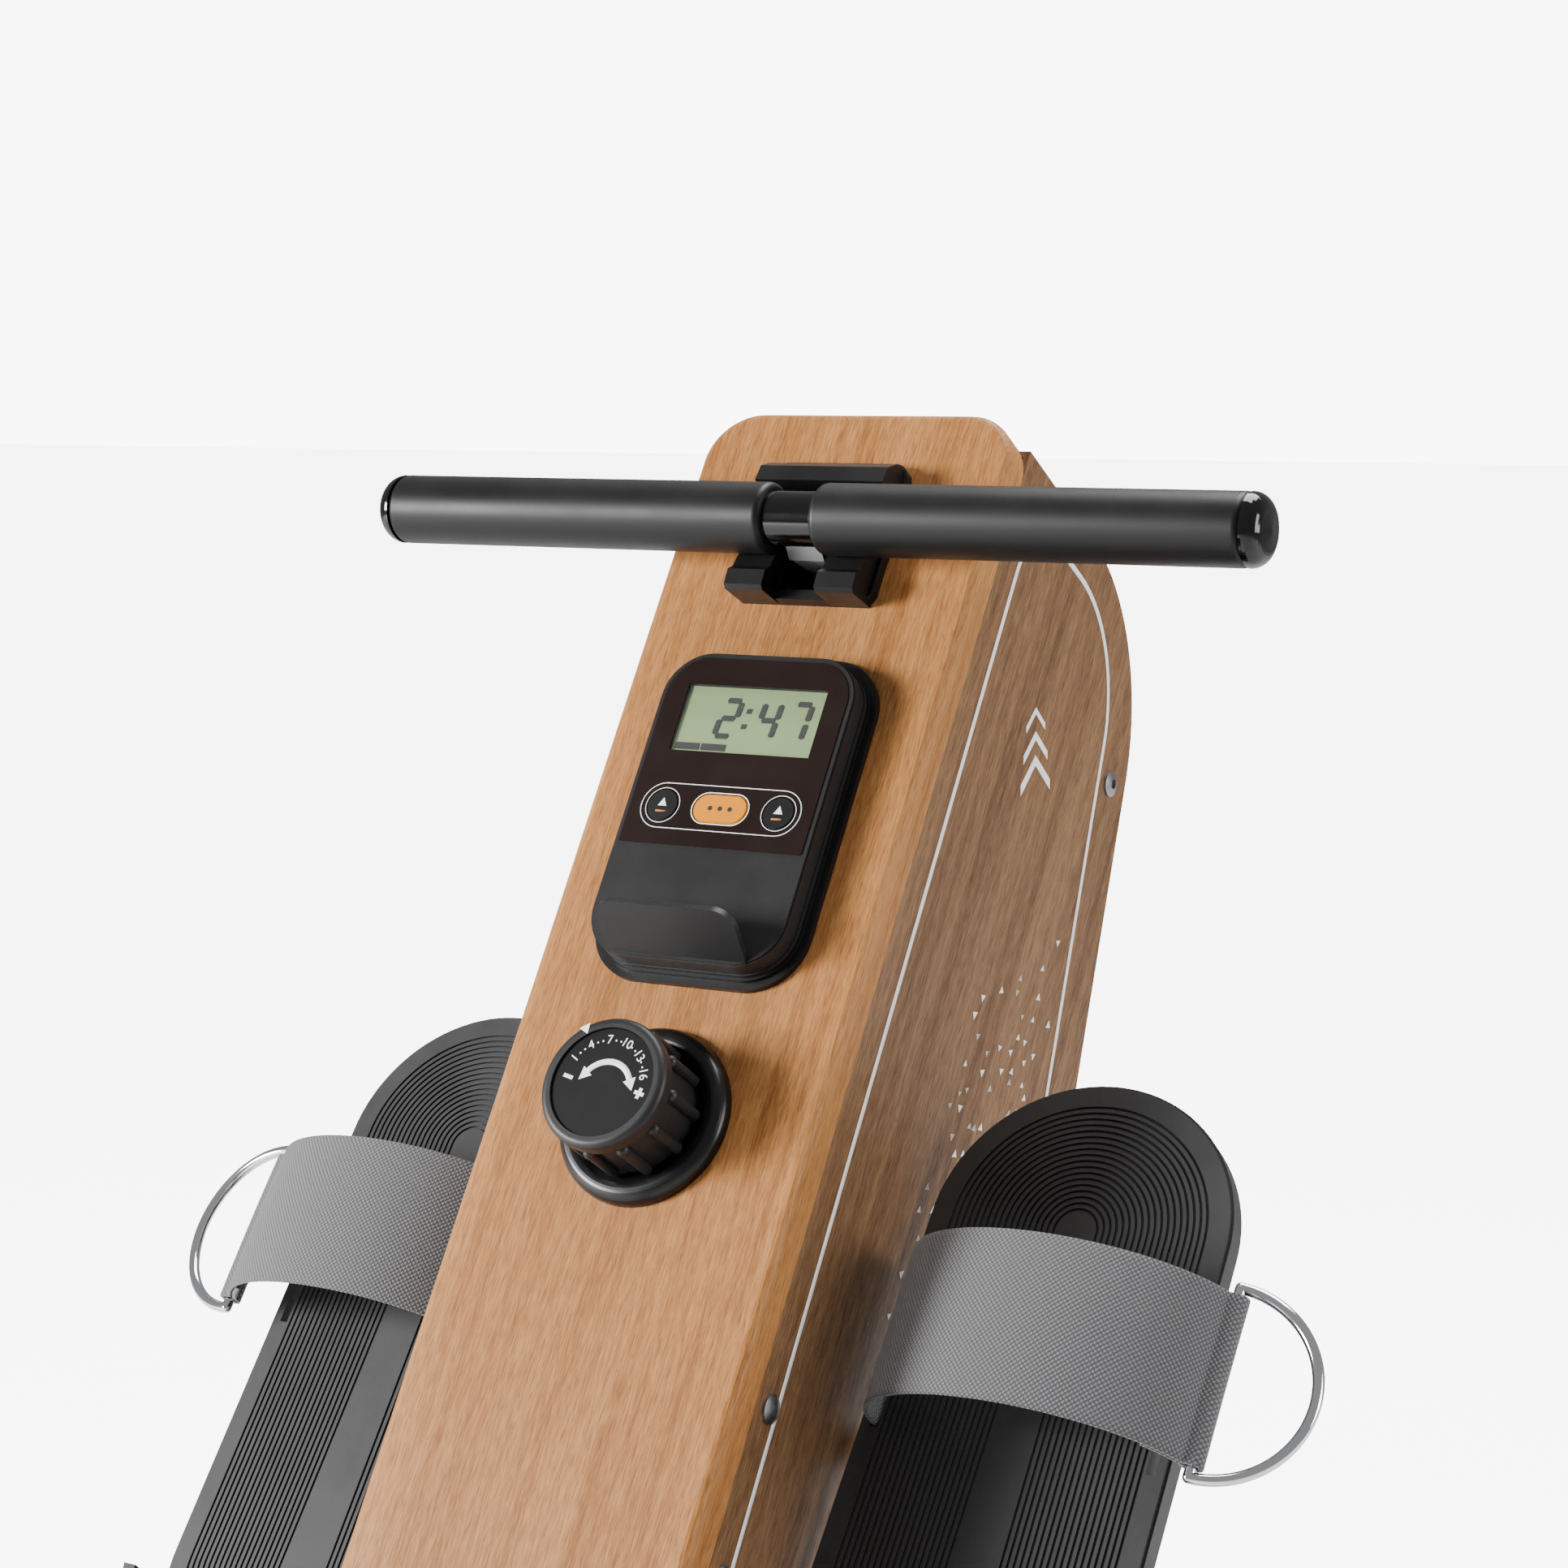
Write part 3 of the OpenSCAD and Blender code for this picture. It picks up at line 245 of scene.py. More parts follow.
# a moulded or sprayed surface: fine grain, slow mottling of its colour and a little dust on upward parts
def buildMoulded(add, given):
    coarse = add("TexNoise", Vector=given["Vector"], Scale=24.0, Detail=4.0, Roughness=0.6)
    fine = add("TexNoise", Vector=given["Vector"], Scale=given["Grain"], Detail=3.0, Roughness=0.6)
    mottle = add("MapRange", Value=coarse.outputs["Fac"], From_Min=0.3, From_Max=0.7, To_Min=-1.0,
                 To_Max=1.0)
    lift = add("Math", _operation="MULTIPLY_ADD", i0=mottle.outputs[0], i1=given["Mottle"], i2=1.0)
    shade = add("VectorMath", _operation="SCALE", i0=given["Color"], Scale=lift.outputs[0])
    upward = add("SeparateXYZ", Vector=add("NewGeometry").outputs["Normal"])
    lying = add("MapRange", Value=upward.outputs["Z"], From_Min=0.2, From_Max=1.0)
    settled = add("Math", _operation="MULTIPLY", i0=coarse.outputs["Fac"], i1=given["Dust"])
    dustMask = add("Math", _operation="MULTIPLY", i0=lying.outputs[0], i1=settled.outputs[0])
    dusted = add("Mix", _data_type="RGBA", i0=dustMask.outputs[0], i6=shade.outputs[0],
                 i7=(0.30, 0.28, 0.26, 1))
    rough = add("Math", _operation="MULTIPLY_ADD", i0=mottle.outputs[0], i1=0.05, i2=given["Roughness"])
    return {"Color": dusted.outputs[2], "Height": fine.outputs["Fac"], "Roughness": rough.outputs[0]}


mouldedSkin = shaderGroup(
    "mouldedSkin", [("Vector", "Vector", None), ("Color", "Color", grey(0.1)), ("Roughness", "Float", 0.5),
                    ("Grain", "Float", 900.0), ("Mottle", "Float", 0.06), ("Dust", "Float", 0.03)],
    [("Color", "Color"), ("Height", "Float"), ("Roughness", "Float")], buildMoulded)


# a plain basket weave in the piece's own flat measure: over and under yarns as two shifted sine waves
def buildWeave(add, given):
    split = add("SeparateXYZ", Vector=given["Vector"])
    turns = add("Math", _operation="MULTIPLY", i0=given["Yarns"], i1=math.pi)
    a = add("Math", _operation="MULTIPLY", i0=split.outputs["X"], i1=turns.outputs[0])
    b = add("Math", _operation="MULTIPLY", i0=split.outputs["Y"], i1=turns.outputs[0])
    total = add("Math", _operation="ADD", i0=a.outputs[0], i1=b.outputs[0])
    gap = add("Math", _operation="SUBTRACT", i0=a.outputs[0], i1=b.outputs[0])
    plus = add("Math", _operation="SINE", i0=total.outputs[0])
    minus = add("Math", _operation="SINE", i0=gap.outputs[0])
    cross = add("Math", _operation="MULTIPLY", i0=plus.outputs[0], i1=minus.outputs[0])
    knots = add("Math", _operation="ABSOLUTE", i0=cross.outputs[0])
    fuzz = add("TexNoise", Vector=given["Vector"], Scale=2600.0, Detail=2.0)
    height = add("Math", _operation="MULTIPLY_ADD", i0=fuzz.outputs["Fac"], i1=0.25, i2=knots.outputs[0])
    tone = add("MapRange", Value=height.outputs[0], From_Min=0.1, From_Max=1.0)
    # the colour runs from the shaded tone where the weave lies low to the top tone on the raised yarns:
    # painted shade between the yarns
    colour = add("Mix", _data_type="RGBA", i0=tone.outputs[0], i6=given["Deep"], i7=given["Top"])
    return {"Color": colour.outputs[2], "Height": height.outputs[0]}


webWeave = shaderGroup(
    "webWeave", [("Vector", "Vector", None), ("Yarns", "Float", 420.0), ("Deep", "Color", grey(0.05)),
                 ("Top", "Color", grey(0.3))],
    [("Color", "Color"), ("Height", "Float")], buildWeave)


def leaningCoordinates(shader):  # object coordinates turned so that the second axis runs up the face
    lean = math.atan2(faceOut[2], -faceOut[1])
    mapping = shader.add("Mapping", Vector=shader.add("TexCoord").outputs["Object"])
    mapping.inputs["Rotation"].default_value = (lean - math.pi / 2, 0, 0)
    return mapping.outputs[0]


def woodMaterial(name, light, dark, pore, pores):
    shader = Shader(name)
    grain = shader.group(woodGrain, Vector=leaningCoordinates(shader), Light=light, Dark=dark,
                         Pore_Color=pore, Pores=pores)
    shader.wire(grain.outputs["Color"], "Base Color")
    rough = shader.add("MapRange", Value=grain.outputs["Tone"], To_Min=0.50, To_Max=0.40)
    shader.wire(rough.outputs[0], "Roughness")
    bump = shader.add("Bump", Height=grain.outputs["Height"], Strength=0.16, Distance=0.0004)
    shader.wire(bump.outputs[0], "Normal")
    shader.put(Specular_IOR_Level=0.18)
    return shader.material


def mouldedMaterial(name, colour, roughness, grain, bump, mottle=0.06, dust=0.02, metallic=0.0,
                    specular=0.5):
    shader = Shader(name)
    skin = shader.group(mouldedSkin, Vector=shader.add("TexCoord").outputs["Object"], Color=colour,
                        Roughness=roughness, Grain=grain, Mottle=mottle, Dust=dust)
    shader.wire(skin.outputs["Color"], "Base Color").wire(skin.outputs["Roughness"], "Roughness")
    shader.wire(shader.add("Bump", Height=skin.outputs["Height"], Strength=bump,
                           Distance=0.0002).outputs[0], "Normal")
    shader.put(Metallic=metallic, Specular_IOR_Level=specular)
    return shader.material


def webbingMaterial(name, shadedTone, top, yarns):
    shader = Shader(name)
    weave = shader.group(webWeave, Vector=shader.add("UVMap", _uv_map="weave").outputs[0], Yarns=yarns,
                         Deep=shadedTone, Top=top)
    shader.wire(weave.outputs["Color"], "Base Color")
    shader.wire(shader.add("Bump", Height=weave.outputs["Height"], Strength=0.55,
                           Distance=0.0006).outputs[0], "Normal")
    shader.put(Roughness=0.62, Sheen_Weight=0.25, Specular_IOR_Level=0.4)
    return shader.material


def inkMaterial(name, colour, roughness=0.45):
    shader = Shader(name)
    skin = shader.group(mouldedSkin, Vector=shader.add("TexCoord").outputs["Object"], Color=colour,
                        Roughness=roughness, Grain=1500.0, Mottle=0.03, Dust=0.0)
    shader.wire(skin.outputs["Color"], "Base Color").wire(skin.outputs["Roughness"], "Roughness")
    return shader.material


woodFront = woodMaterial("woodFront", srgb(178, 124, 72), srgb(132, 82, 38), srgb(88, 50, 22), 0.55)
# the side covers get the front's veneer in darker, greyer tones: painted shade for the sides turned away
# from the light
shadedWoodSide = woodMaterial("shadedWoodSide", srgb(136, 102, 70), srgb(86, 58, 36), srgb(56, 36, 22), 0.6)
blackPlastic = mouldedMaterial("blackPlastic", srgb(14, 14, 15), 0.38, 1300, 0.10, specular=0.30)
glossBlack = mouldedMaterial("glossBlack", srgb(7, 7, 8), 0.10, 400, 0.01, specular=0.45)
softBlack = mouldedMaterial("softBlack", srgb(15, 15, 16), 0.44, 2200, 0.14, specular=0.25)
consoleGrey = mouldedMaterial("consoleGrey", srgb(24, 24, 25), 0.42, 1600, 0.16, specular=0.30)
knobGrey = mouldedMaterial("knobGrey", srgb(26, 26, 27), 0.42, 1900, 0.20, specular=0.35)
knobBlack = mouldedMaterial("knobBlack", srgb(10, 10, 11), 0.30, 1500, 0.06, specular=0.35)
filmBrown = mouldedMaterial("filmBrown", srgb(26, 15, 13), 0.32, 300, 0.01, mottle=0.02, specular=0.16)
dialBlack = mouldedMaterial("dialBlack", srgb(7, 7, 7), 0.45, 2400, 0.12, specular=0.16)
pedalGrey = mouldedMaterial("pedalGrey", srgb(46, 46, 47), 0.46, 2000, 0.18, specular=0.35)
powderCoat = mouldedMaterial("powderCoat", srgb(18, 18, 19), 0.45, 700, 0.20, dust=0.03, specular=0.3)
plateGrey = mouldedMaterial("plateGrey", srgb(110, 112, 116), 0.42, 600, 0.12, metallic=0.7)
rubberBlack = mouldedMaterial("rubberBlack", srgb(14, 14, 15), 0.70, 1400, 0.25, dust=0.04, specular=0.25)
turnedSteel = mouldedMaterial("turnedSteel", srgb(150, 150, 152), 0.34, 1200, 0.06, metallic=1.0)
polishedSteel = mouldedMaterial("polishedSteel", srgb(225, 226, 230), 0.09, 300, 0.01, mottle=0.02,
                                metallic=1.0)
anodised = mouldedMaterial("anodised", srgb(120, 121, 124), 0.36, 900, 0.06, metallic=0.9)
castIron = mouldedMaterial("castIron", srgb(92, 92, 94), 0.55, 260, 0.30, metallic=0.8)
solderMask = mouldedMaterial("solderMask", srgb(30, 92, 52), 0.35, 900, 0.08)
batterySleeve = mouldedMaterial("batterySleeve", srgb(190, 150, 60), 0.30, 500, 0.04, metallic=0.6)
displayGlass = mouldedMaterial("displayGlass", srgb(124, 144, 100), 0.5, 2600, 0.03, mottle=0.03,
                               specular=0.2)
orangeKey = mouldedMaterial("orangeKey", srgb(208, 126, 0), 0.45, 1800, 0.04, mottle=0.02, specular=0.2)
seatRoller = mouldedMaterial("seatRoller", srgb(205, 204, 198), 0.40, 900, 0.08)
seatSkin = mouldedMaterial("seatSkin", srgb(15, 15, 16), 0.60, 1100, 0.42, dust=0.02, specular=0.18)
printWhite = inkMaterial("printWhite", srgb(244, 244, 244))
stripeWhite = inkMaterial("stripeWhite", srgb(236, 234, 232))
printOrange = inkMaterial("printOrange", srgb(196, 108, 0))
displayInk = inkMaterial("displayInk", srgb(9, 11, 8), 0.6)
# the first, dark colour of each webbing is painted shade in the hollows of the weave
webbingGrey = webbingMaterial("webbingGrey", srgb(44, 44, 45), srgb(108, 108, 110), 430)
webbingDark = webbingMaterial("webbingDark", srgb(26, 26, 27), srgb(88, 88, 90), 900)


def clearWindow():
    shader = Shader("clearWindow")
    smudge = shader.add("TexNoise", Vector=shader.add("TexCoord").outputs["Object"], Scale=60.0, Detail=3.0)
    shader.wire(shader.add("MapRange", Value=smudge.outputs["Fac"], To_Min=0.03, To_Max=0.10).outputs[0],
                "Roughness")
    shader.put(Base_Color=(0.35, 0.38, 0.35, 1.0), Alpha=0.04, Specular_IOR_Level=0.2)
    return shader.material


nodeFinish = {
    woodFront: ["front_cover"], shadedWoodSide: ["left_cover", "right_cover"],
    blackPlastic: ["cradle", "console_base", "left_key", "right_key", "recoil_case", "speed_sensor",
                   "left_wheel", "right_wheel", "brake_cable", "strap_drum", "guide_roller", "cable_cam"],
    consoleGrey: ["console_front"], filmBrown: ["console_film"], displayGlass: ["display"],
    clearWindow(): ["display_window"], orangeKey: ["mode_key"], knobBlack: ["knob_collar"],
    knobGrey: ["tension_knob"], dialBlack: ["dial_disc"],
    softBlack: ["hand_grips"], glossBlack: ["handle_tube", "handle_caps"],
    pedalGrey: ["left_pedal", "right_pedal"],
    powderCoat: ["main_frame", "front_stabilizer", "rear_stabilizer", "rear_leg", "wheel_bracket",
                 "seat_carriage"],
    plateGrey: ["bearing_plates", "cable_bracket", "magnet_arm"],
    rubberBlack: ["end_caps", "rail_bumpers", "drive_belt"],
    turnedSteel: ["cover_screws", "drive_axles", "pedal_axle", "strap_clip", "recoil_spring", "magnets",
                  "frame_bolts"],
    polishedSteel: ["left_ring", "right_ring"], anodised: ["rail"], castIron: ["flywheel"],
    solderMask: ["circuit_board"], batterySleeve: ["batteries"],
    seatRoller: ["front_rollers", "rear_rollers"],
    webbingDark: ["wound_strap"],
}
for finish, names in nodeFinish.items():
    for name in names:
        cadPiece = frame["nodes"][name]
        cadPiece.data.materials.clear()
        cadPiece.data.materials.append(finish)
print("finishes put on the frame's pieces")

# ---- flat prints: a thin film standing on a surface ----
printLift = 0.00012
printThickness = 0.0001


def arcPoints(centre, radius, startDegrees, endDegrees, count):
    angle = np.radians(np.linspace(startDegrees, endDegrees, count))
    return np.stack([centre[0] + radius * np.cos(angle), centre[1] + radius * np.sin(angle)], -1)


# a line of constant width: each point is pushed half the width to both sides along the line's normal
def lineBand(points, width, closed=False):
    if closed:
        along = np.roll(points, -1, 0) - np.roll(points, 1, 0)
    else:
        along = np.gradient(points, axis=0)
    normal = np.stack([-along[:, 1], along[:, 0]], -1) / np.linalg.norm(along, axis=1)[:, None]
    return np.stack([points - normal * width / 2, points + normal * width / 2], 1)


def printBand(name, points, width, toPlace, material, body, closed=False):
    band = lineBand(points, width, closed)
    piece = gridObject(name, toPlace(band), material, body, wrapRows=closed)
    return solidify(piece, printThickness)


def printShape(name, outlines, toPlace, material, body):  # each outline is one filled polygon
    points = np.concatenate(outlines)
    starts = np.cumsum([0] + [len(outline) for outline in outlines])
    faces = [range(starts[i], starts[i + 1]) for i in range(len(outlines))]
    return solidify(meshObject(name, toPlace(points), faces, material, body, smooth=False), printThickness)


def textOutlines(text, height):  # generic numerals as a flat mesh, centred on the origin
    curve = bpy.data.curves.new("numerals", "FONT")
    curve.body, curve.size = text, height
    curve.align_x, curve.align_y = "CENTER", "CENTER"
    holder = bpy.data.objects.new("numerals", curve)
    bpy.context.scene.collection.objects.link(holder)
    bpy.context.view_layer.update()
    mesh = bpy.data.meshes.new_from_object(holder.evaluated_get(bpy.context.evaluated_depsgraph_get()))
    points = np.array([vertex.co[:2] for vertex in mesh.vertices])
    faces = [tuple(face.vertices) for face in mesh.polygons]
    bpy.data.objects.remove(holder)
    bpy.data.curves.remove(curve)
    bpy.data.meshes.remove(mesh)
    return points, faces


def turned(points, degrees):
    angle = math.radians(degrees)
    return points @ np.array([[math.cos(angle), math.sin(angle)], [-math.sin(angle), math.cos(angle)]])


# ---- side stripes, emblem and confetti ----
sideTrim = {"frontInset": 0.035, "roofInset": 0.031, "backInset": 0.031, "floorInset": 0.030,
            "width": 0.0028, "frontRound": 0.030, "backRound": 0.068, "floorRound": 0.030, "step": 0.02}
shell = {"roofDrop": 0.0095, "roofDepth": 0.176}  # where the roof line and the back line meet
backLean = math.radians(20.2)
faceLean = math.atan2(faceOut[2], -faceOut[1])
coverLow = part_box("right_cover")[0]
backTop = np.array(faceTop[1:]) - shell["roofDrop"] * faceUp[1:] - shell["roofDepth"] * faceOut[1:]


def cornerOf(pointA, wayA, pointB, wayB):
    return pointA + wayA * np.linalg.solve(np.stack([wayA, -wayB], 1), pointB - pointA)[0]


# a polygon with each corner replaced by an arc that touches both its sides
def roundedLoop(corners, radii, steps=16):
    loop = []
    for i, corner in enumerate(corners):
        before = corners[i - 1] - corner
        after = corners[(i + 1) % len(corners)] - corner
        before, after = before / np.linalg.norm(before), after / np.linalg.norm(after)
        half = math.acos(np.clip(before @ after, -1, 1)) / 2
        middle = (before + after) / np.linalg.norm(before + after)
        centre = corner + middle * radii[i] / math.sin(half)
        first = corner + before * radii[i] / math.tan(half) - centre
        last = corner + after * radii[i] / math.tan(half) - centre
        sweep = math.atan2(first[0] * last[1] - first[1] * last[0], first @ last)
        angle = math.atan2(first[1], first[0]) + np.linspace(0, sweep, steps)
        loop.append(centre + radii[i] * np.stack([np.cos(angle), np.sin(angle)], -1))
    loop = np.concatenate(loop)
    dense = []
    for start, end in zip(loop, np.roll(loop, -1, 0)):
        count = max(1, int(np.linalg.norm(end - start) / sideTrim["step"]))
        dense.append(start + (end - start) * (np.arange(count) / count)[:, None])
    return np.concatenate(dense)


def sideLoop():
    up, out = faceUp[1:], faceOut[1:]
    backWay = np.array([math.sin(backLean), math.cos(backLean)])
    backNormal = np.array([math.cos(backLean), -math.sin(backLean)])
    top = np.array(faceTop[1:])
    front = top - sideTrim["frontInset"] * out
    roof = top - sideTrim["roofInset"] * up
    back = backTop - sideTrim["backInset"] * backNormal
    floor = np.array([0.0, coverLow[2] + sideTrim["floorInset"]])
    level = np.array([1.0, 0.0])
    corners = [cornerOf(front, up, roof, out), cornerOf(roof, out, back, backWay),
               cornerOf(back, backWay, floor, level), cornerOf(floor, level, front, up)]
    rounds = ("frontRound", "backRound", "floorRound", "floorRound")
    return roundedLoop(corners, [sideTrim[key] for key in rounds])


def onSide(side):
    def place(points):
        x = np.full(points.shape[:-1] + (1,), side * (sideX + printLift))
        return np.concatenate([x, points], -1)
    return place


for side, label in ((-1, "left"), (1, "right")):
    printBand(label + "SideStripe", sideLoop(), sideTrim["width"], onSide(side), stripeWhite, "frame",
              closed=True)

emblem = {"y": 0.0165, "z": -0.152, "size": 0.030, "bars": 3, "pitch": 0.42, "shrink": 0.18}


def chevron(centre, size):  # two slanted bars that meet in a point
    half = np.array([[-0.5, -0.28], [0.0, 0.14], [0.5, -0.28], [0.5, -0.12], [0.0, 0.30],
                     [-0.5, -0.12]]) * size
    return [centre + half[[0, 1, 4, 5]], centre + half[[1, 2, 3, 4]]]


for side, label in ((-1, "left"), (1, "right")):
    bars = []
    for i in range(emblem["bars"]):
        rise = (i - 1) * emblem["size"] * emblem["pitch"]
        place = np.array([faceTop[1] + emblem["y"], faceTop[2] + emblem["z"] + rise])
        bars += chevron(place, emblem["size"] * (1 - emblem["shrink"] * i))
    printShape(label + "Emblem", bars, onSide(side), stripeWhite, "frame")

confetti = {"rows": 34, "columns": 15, "seed": 7, "size": 0.0024, "top": 0.243, "depth": 0.34,
            "rearInset": 0.040, "frontInset": 0.031, "slant": 0.65, "pale": 0.62}


# triangles on a loose grid between two slanted lines; fewer of them near the top, half of them turned round
def confettiPatch(side, label):
    chance = np.random.default_rng(confetti["seed"])
    row, column = np.meshgrid(np.arange(confetti["rows"]), np.arange(confetti["columns"]), indexing="ij")
    fall = (row + 0.7 * chance.random(row.shape)) / confetti["rows"]
    span = (column + 0.25 + 0.5 * chance.random(row.shape)) / confetti["columns"]
    z = faceTop[2] - confetti["top"] - fall * confetti["depth"]
    rear = backTop[0] - (backTop[1] - z) * math.tan(backLean) - confetti["rearInset"]
    fore = faceTop[1] - confetti["frontInset"] - confetti["slant"] * fall * confetti["depth"]
    y = fore + (rear - fore) * span
    kept = chance.random(row.shape) < np.clip(0.08 + 2.4 * fall, 0, 0.46)
    y, z = y[kept], z[kept]
    size = confetti["size"] * (0.75 + 0.35 * chance.random(len(y)))
    angle = np.radians(50 + 180 * chance.integers(0, 2, len(y)) + 16 * chance.random(len(y)))[:, None]
    angle = angle + np.array([0.0, 2.3, 4.6])[None]
    corner = np.stack([y[:, None] + size[:, None] * np.cos(angle),
                       z[:, None] + size[:, None] * np.sin(angle)], -1)
    pale = chance.random(len(y)) < confetti["pale"]
    for chosen, tone, material in ((pale, "Pale", stripeWhite), (~pale, "Grey", confettiGrey)):
        points = corner[chosen].reshape(-1, 2)
        faces = np.arange(len(points)).reshape(-1, 3)
        piece = meshObject(label + "Confetti" + tone, onSide(side)(points), faces, material, "frame",
                           smooth=False)
        solidify(piece, printThickness)


confettiGrey = inkMaterial("confettiGrey", srgb(168, 158, 150))
for side, label in ((-1, "left"), (1, "right")):
    confettiPatch(side, label)
print("side prints made")

# ---- console ----
console = {"u": -0.210, "front": 0.0165, "film": 0.0005, "keyRise": 0.0009, "key": 0.0294, "keyV": -0.0024,
           "window": 0.0412, "pill": (0.0806, 0.0216), "pillLine": 0.00036, "mode": (0.0286, 0.0149),
           "modeLine": 0.0005, "ring": 0.0084, "ringLine": 0.0003, "bar": 0.0026, "barDrop": 0.0030,
           "barLine": 0.0008, "dot": 0.0011, "dotPitch": 0.005, "displayDepth": 0.0009}


def onConsole(height):
    def place(points):
        return onFace(points[..., 0], console["u"] + points[..., 1], height)
    return place


filmTop = console["front"] + console["film"] + printLift
keyTop = console["front"] + console["keyRise"] + printLift


def pillLoop(width, length, steps=24):
    straight = width / 2 - length / 2
    right = arcPoints((straight, 0), length / 2, -90, 90, steps)
    left = arcPoints((-straight, 0), length / 2, 90, 270, steps)
    return np.concatenate([right, left])


keyPlace = np.array([0.0, console["keyV"]])
printBand("keyFrame", pillLoop(*console["pill"]) + keyPlace, console["pillLine"], onConsole(filmTop),
          printWhite, "frame", closed=True)
printBand("modeFrame", pillLoop(*console["mode"]) + keyPlace, console["modeLine"], onConsole(filmTop),
          printWhite, "frame", closed=True)
for side, label in ((-1, "left"), (1, "right")):
    centre = np.array([side * console["key"], console["keyV"]])
    ring = arcPoints(centre, console["ring"], 0, 360, 49)[:-1]
    printBand(label + "KeyFrame", ring, console["ringLine"], onConsole(filmTop), printWhite, "frame",
              closed=True)
    bar = np.array([[-console["bar"], -console["barDrop"]], [console["bar"], -console["barDrop"]]]) + centre
    printBand(label + "KeyBar", bar, console["barLine"], onConsole(keyTop), printOrange, label + "_key")
    mark = [np.array([[-0.0022, -0.0005], [0.0022, -0.0005], [0.0, 0.0034]]) + centre]  # a small triangle
    printShape(label + "KeyMark", mark, onConsole(keyTop), printWhite, label + "_key")
dots = [arcPoints(keyPlace + [i * console["dotPitch"], 0], console["dot"], 0, 360, 17)[:-1]
        for i in (-1, 0, 1)]
printShape("modeDots", dots, onConsole(keyTop), displayInk, "mode_key")

# the display's figures: seven bars a digit, leaning a little
digitBars = {"2": "abged", "4": "fgbc", "7": "abc"}
digit = {"width": 0.0082, "height": 0.0176, "bar": 0.0027, "slant": 0.07, "gap": 0.0003,
         "places": {"2": -0.0160, "4": 0.0044, "7": 0.0197}, "drop": 0.0078}
colon = {"half": 0.0012, "x": -0.0026, "rises": (0.0052, 0.0128)}
stateTag = {"width": 0.0124, "height": 0.0033, "places": (-0.0340, -0.0206), "drop": 0.0152}


def barLoops(width, height, bar):
    half, gap = bar / 2, digit["gap"]
    level = np.array([[0, 0], [half, half], [width - half, half], [width, 0], [width - half, -half],
                      [half, -half]])
    level[:, 0] = np.clip(level[:, 0], gap * 2, width - gap * 2)
    tall = np.array([[0, 0], [half, half], [half, height / 2 - half], [0, height / 2],
                     [-half, height / 2 - half], [-half, half]])
    tall[:, 1] = np.clip(tall[:, 1], gap * 2, height / 2 - gap * 2)
    return {"d": level, "g": level + [0, height / 2], "a": level + [0, height], "e": tall,
            "c": tall + [width, 0], "f": tall + [0, height / 2], "b": tall + [width, height / 2]}


def displayFigures():
    loops = []
    bars = barLoops(digit["width"], digit["height"], digit["bar"])
    for character, x in digit["places"].items():
        loops += [bars[key] + [x, 0] for key in digitBars[character]]
    square = np.array([[-1, -1], [1, -1], [1, 1], [-1, 1]]) * colon["half"]
    loops += [square + [colon["x"], y] for y in colon["rises"]]
    placed = []
    for loop in loops:
        leaning = loop + np.stack([loop[:, 1] * digit["slant"], np.zeros(len(loop))], -1)
        placed.append(leaning + np.array([0.0, console["window"] - digit["drop"]]))
    tag = np.array([[0, 0], [1, 0], [1, 1], [0, 1]]) * [stateTag["width"], stateTag["height"]]
    for x in stateTag["places"]:  # two small state tags in the lower left
        placed.append(tag + [x, console["window"] - stateTag["drop"]])
    return placed


displayTop = console["front"] - console["displayDepth"]
printShape("displayFigures", displayFigures(), onConsole(displayTop), displayInk, "frame")
print("console prints made")

# ---- tension dial ----
dial = {"discTop": 0.0400, "ringTop": 0.0410, "numbers": 0.0190, "dots": 0.0188, "figure": 0.0056,
        "step": 26.8, "first": 151.5, "dot": 0.00042, "dotPlaces": (0.36, 0.64), "pointerTurn": 34.7}


def onDial(height):
    def place(points):
        return onFace(points[..., 0], -knobDrop + points[..., 1], height)
    return place


def around(radius, degrees):
    return radius * np.array([math.cos(math.radians(degrees)), math.sin(math.radians(degrees))])


dialTop = dial["discTop"] + printLift
dialFigures = ("1", "4", "7", "10", "13", "16")
for i, figure in enumerate(dialFigures):
    angle = dial["first"] - i * dial["step"]
    points, faces = textOutlines(figure, dial["figure"])
    points = turned(points, angle - 90) + around(dial["numbers"], angle)
    solidify(meshObject("dialFigure" + figure, onDial(dialTop)(points), faces, printWhite, "frame",
                        smooth=False), printThickness)
dots = []
for i in range(len(dialFigures) - 1):
    for part in dial["dotPlaces"]:
        centre = around(dial["dots"], dial["first"] - (i + part) * dial["step"])
        dots.append(arcPoints(centre, dial["dot"], 0, 360, 13)[:-1])
printShape("dialDots", dots, onDial(dialTop), printWhite, "frame")

arrow = {"centre": (0.0014, -0.0032), "radius": 0.0125, "width": 0.0026, "from": 143.0, "to": 28.0,
         "head": 0.0060}
sweep = arcPoints(arrow["centre"], arrow["radius"], arrow["from"], arrow["to"], 41)
printBand("dialArrow", sweep, arrow["width"], onDial(dialTop), printWhite, "frame")
heads = []
for angle, way in ((arrow["from"], 1), (arrow["to"], -1)):
    place = arcPoints(arrow["centre"], arrow["radius"], angle, angle, 1)[0]
    head = np.array([[-0.5, 0.0], [0.5, 0.0], [0.0, 0.9]]) * arrow["head"]
    heads.append(turned(head, angle + (0 if way > 0 else 180)) + place)
printShape("dialArrowHeads", heads, onDial(dialTop), printWhite, "frame")
signs = {"minus": (-0.0172, 0.0008), "plus": (0.0190, -0.0028), "length": 0.0048, "width": 0.0016}
bar = np.array([[-0.5, -0.5], [0.5, -0.5], [0.5, 0.5], [-0.5, 0.5]]) * [signs["length"], signs["width"]]
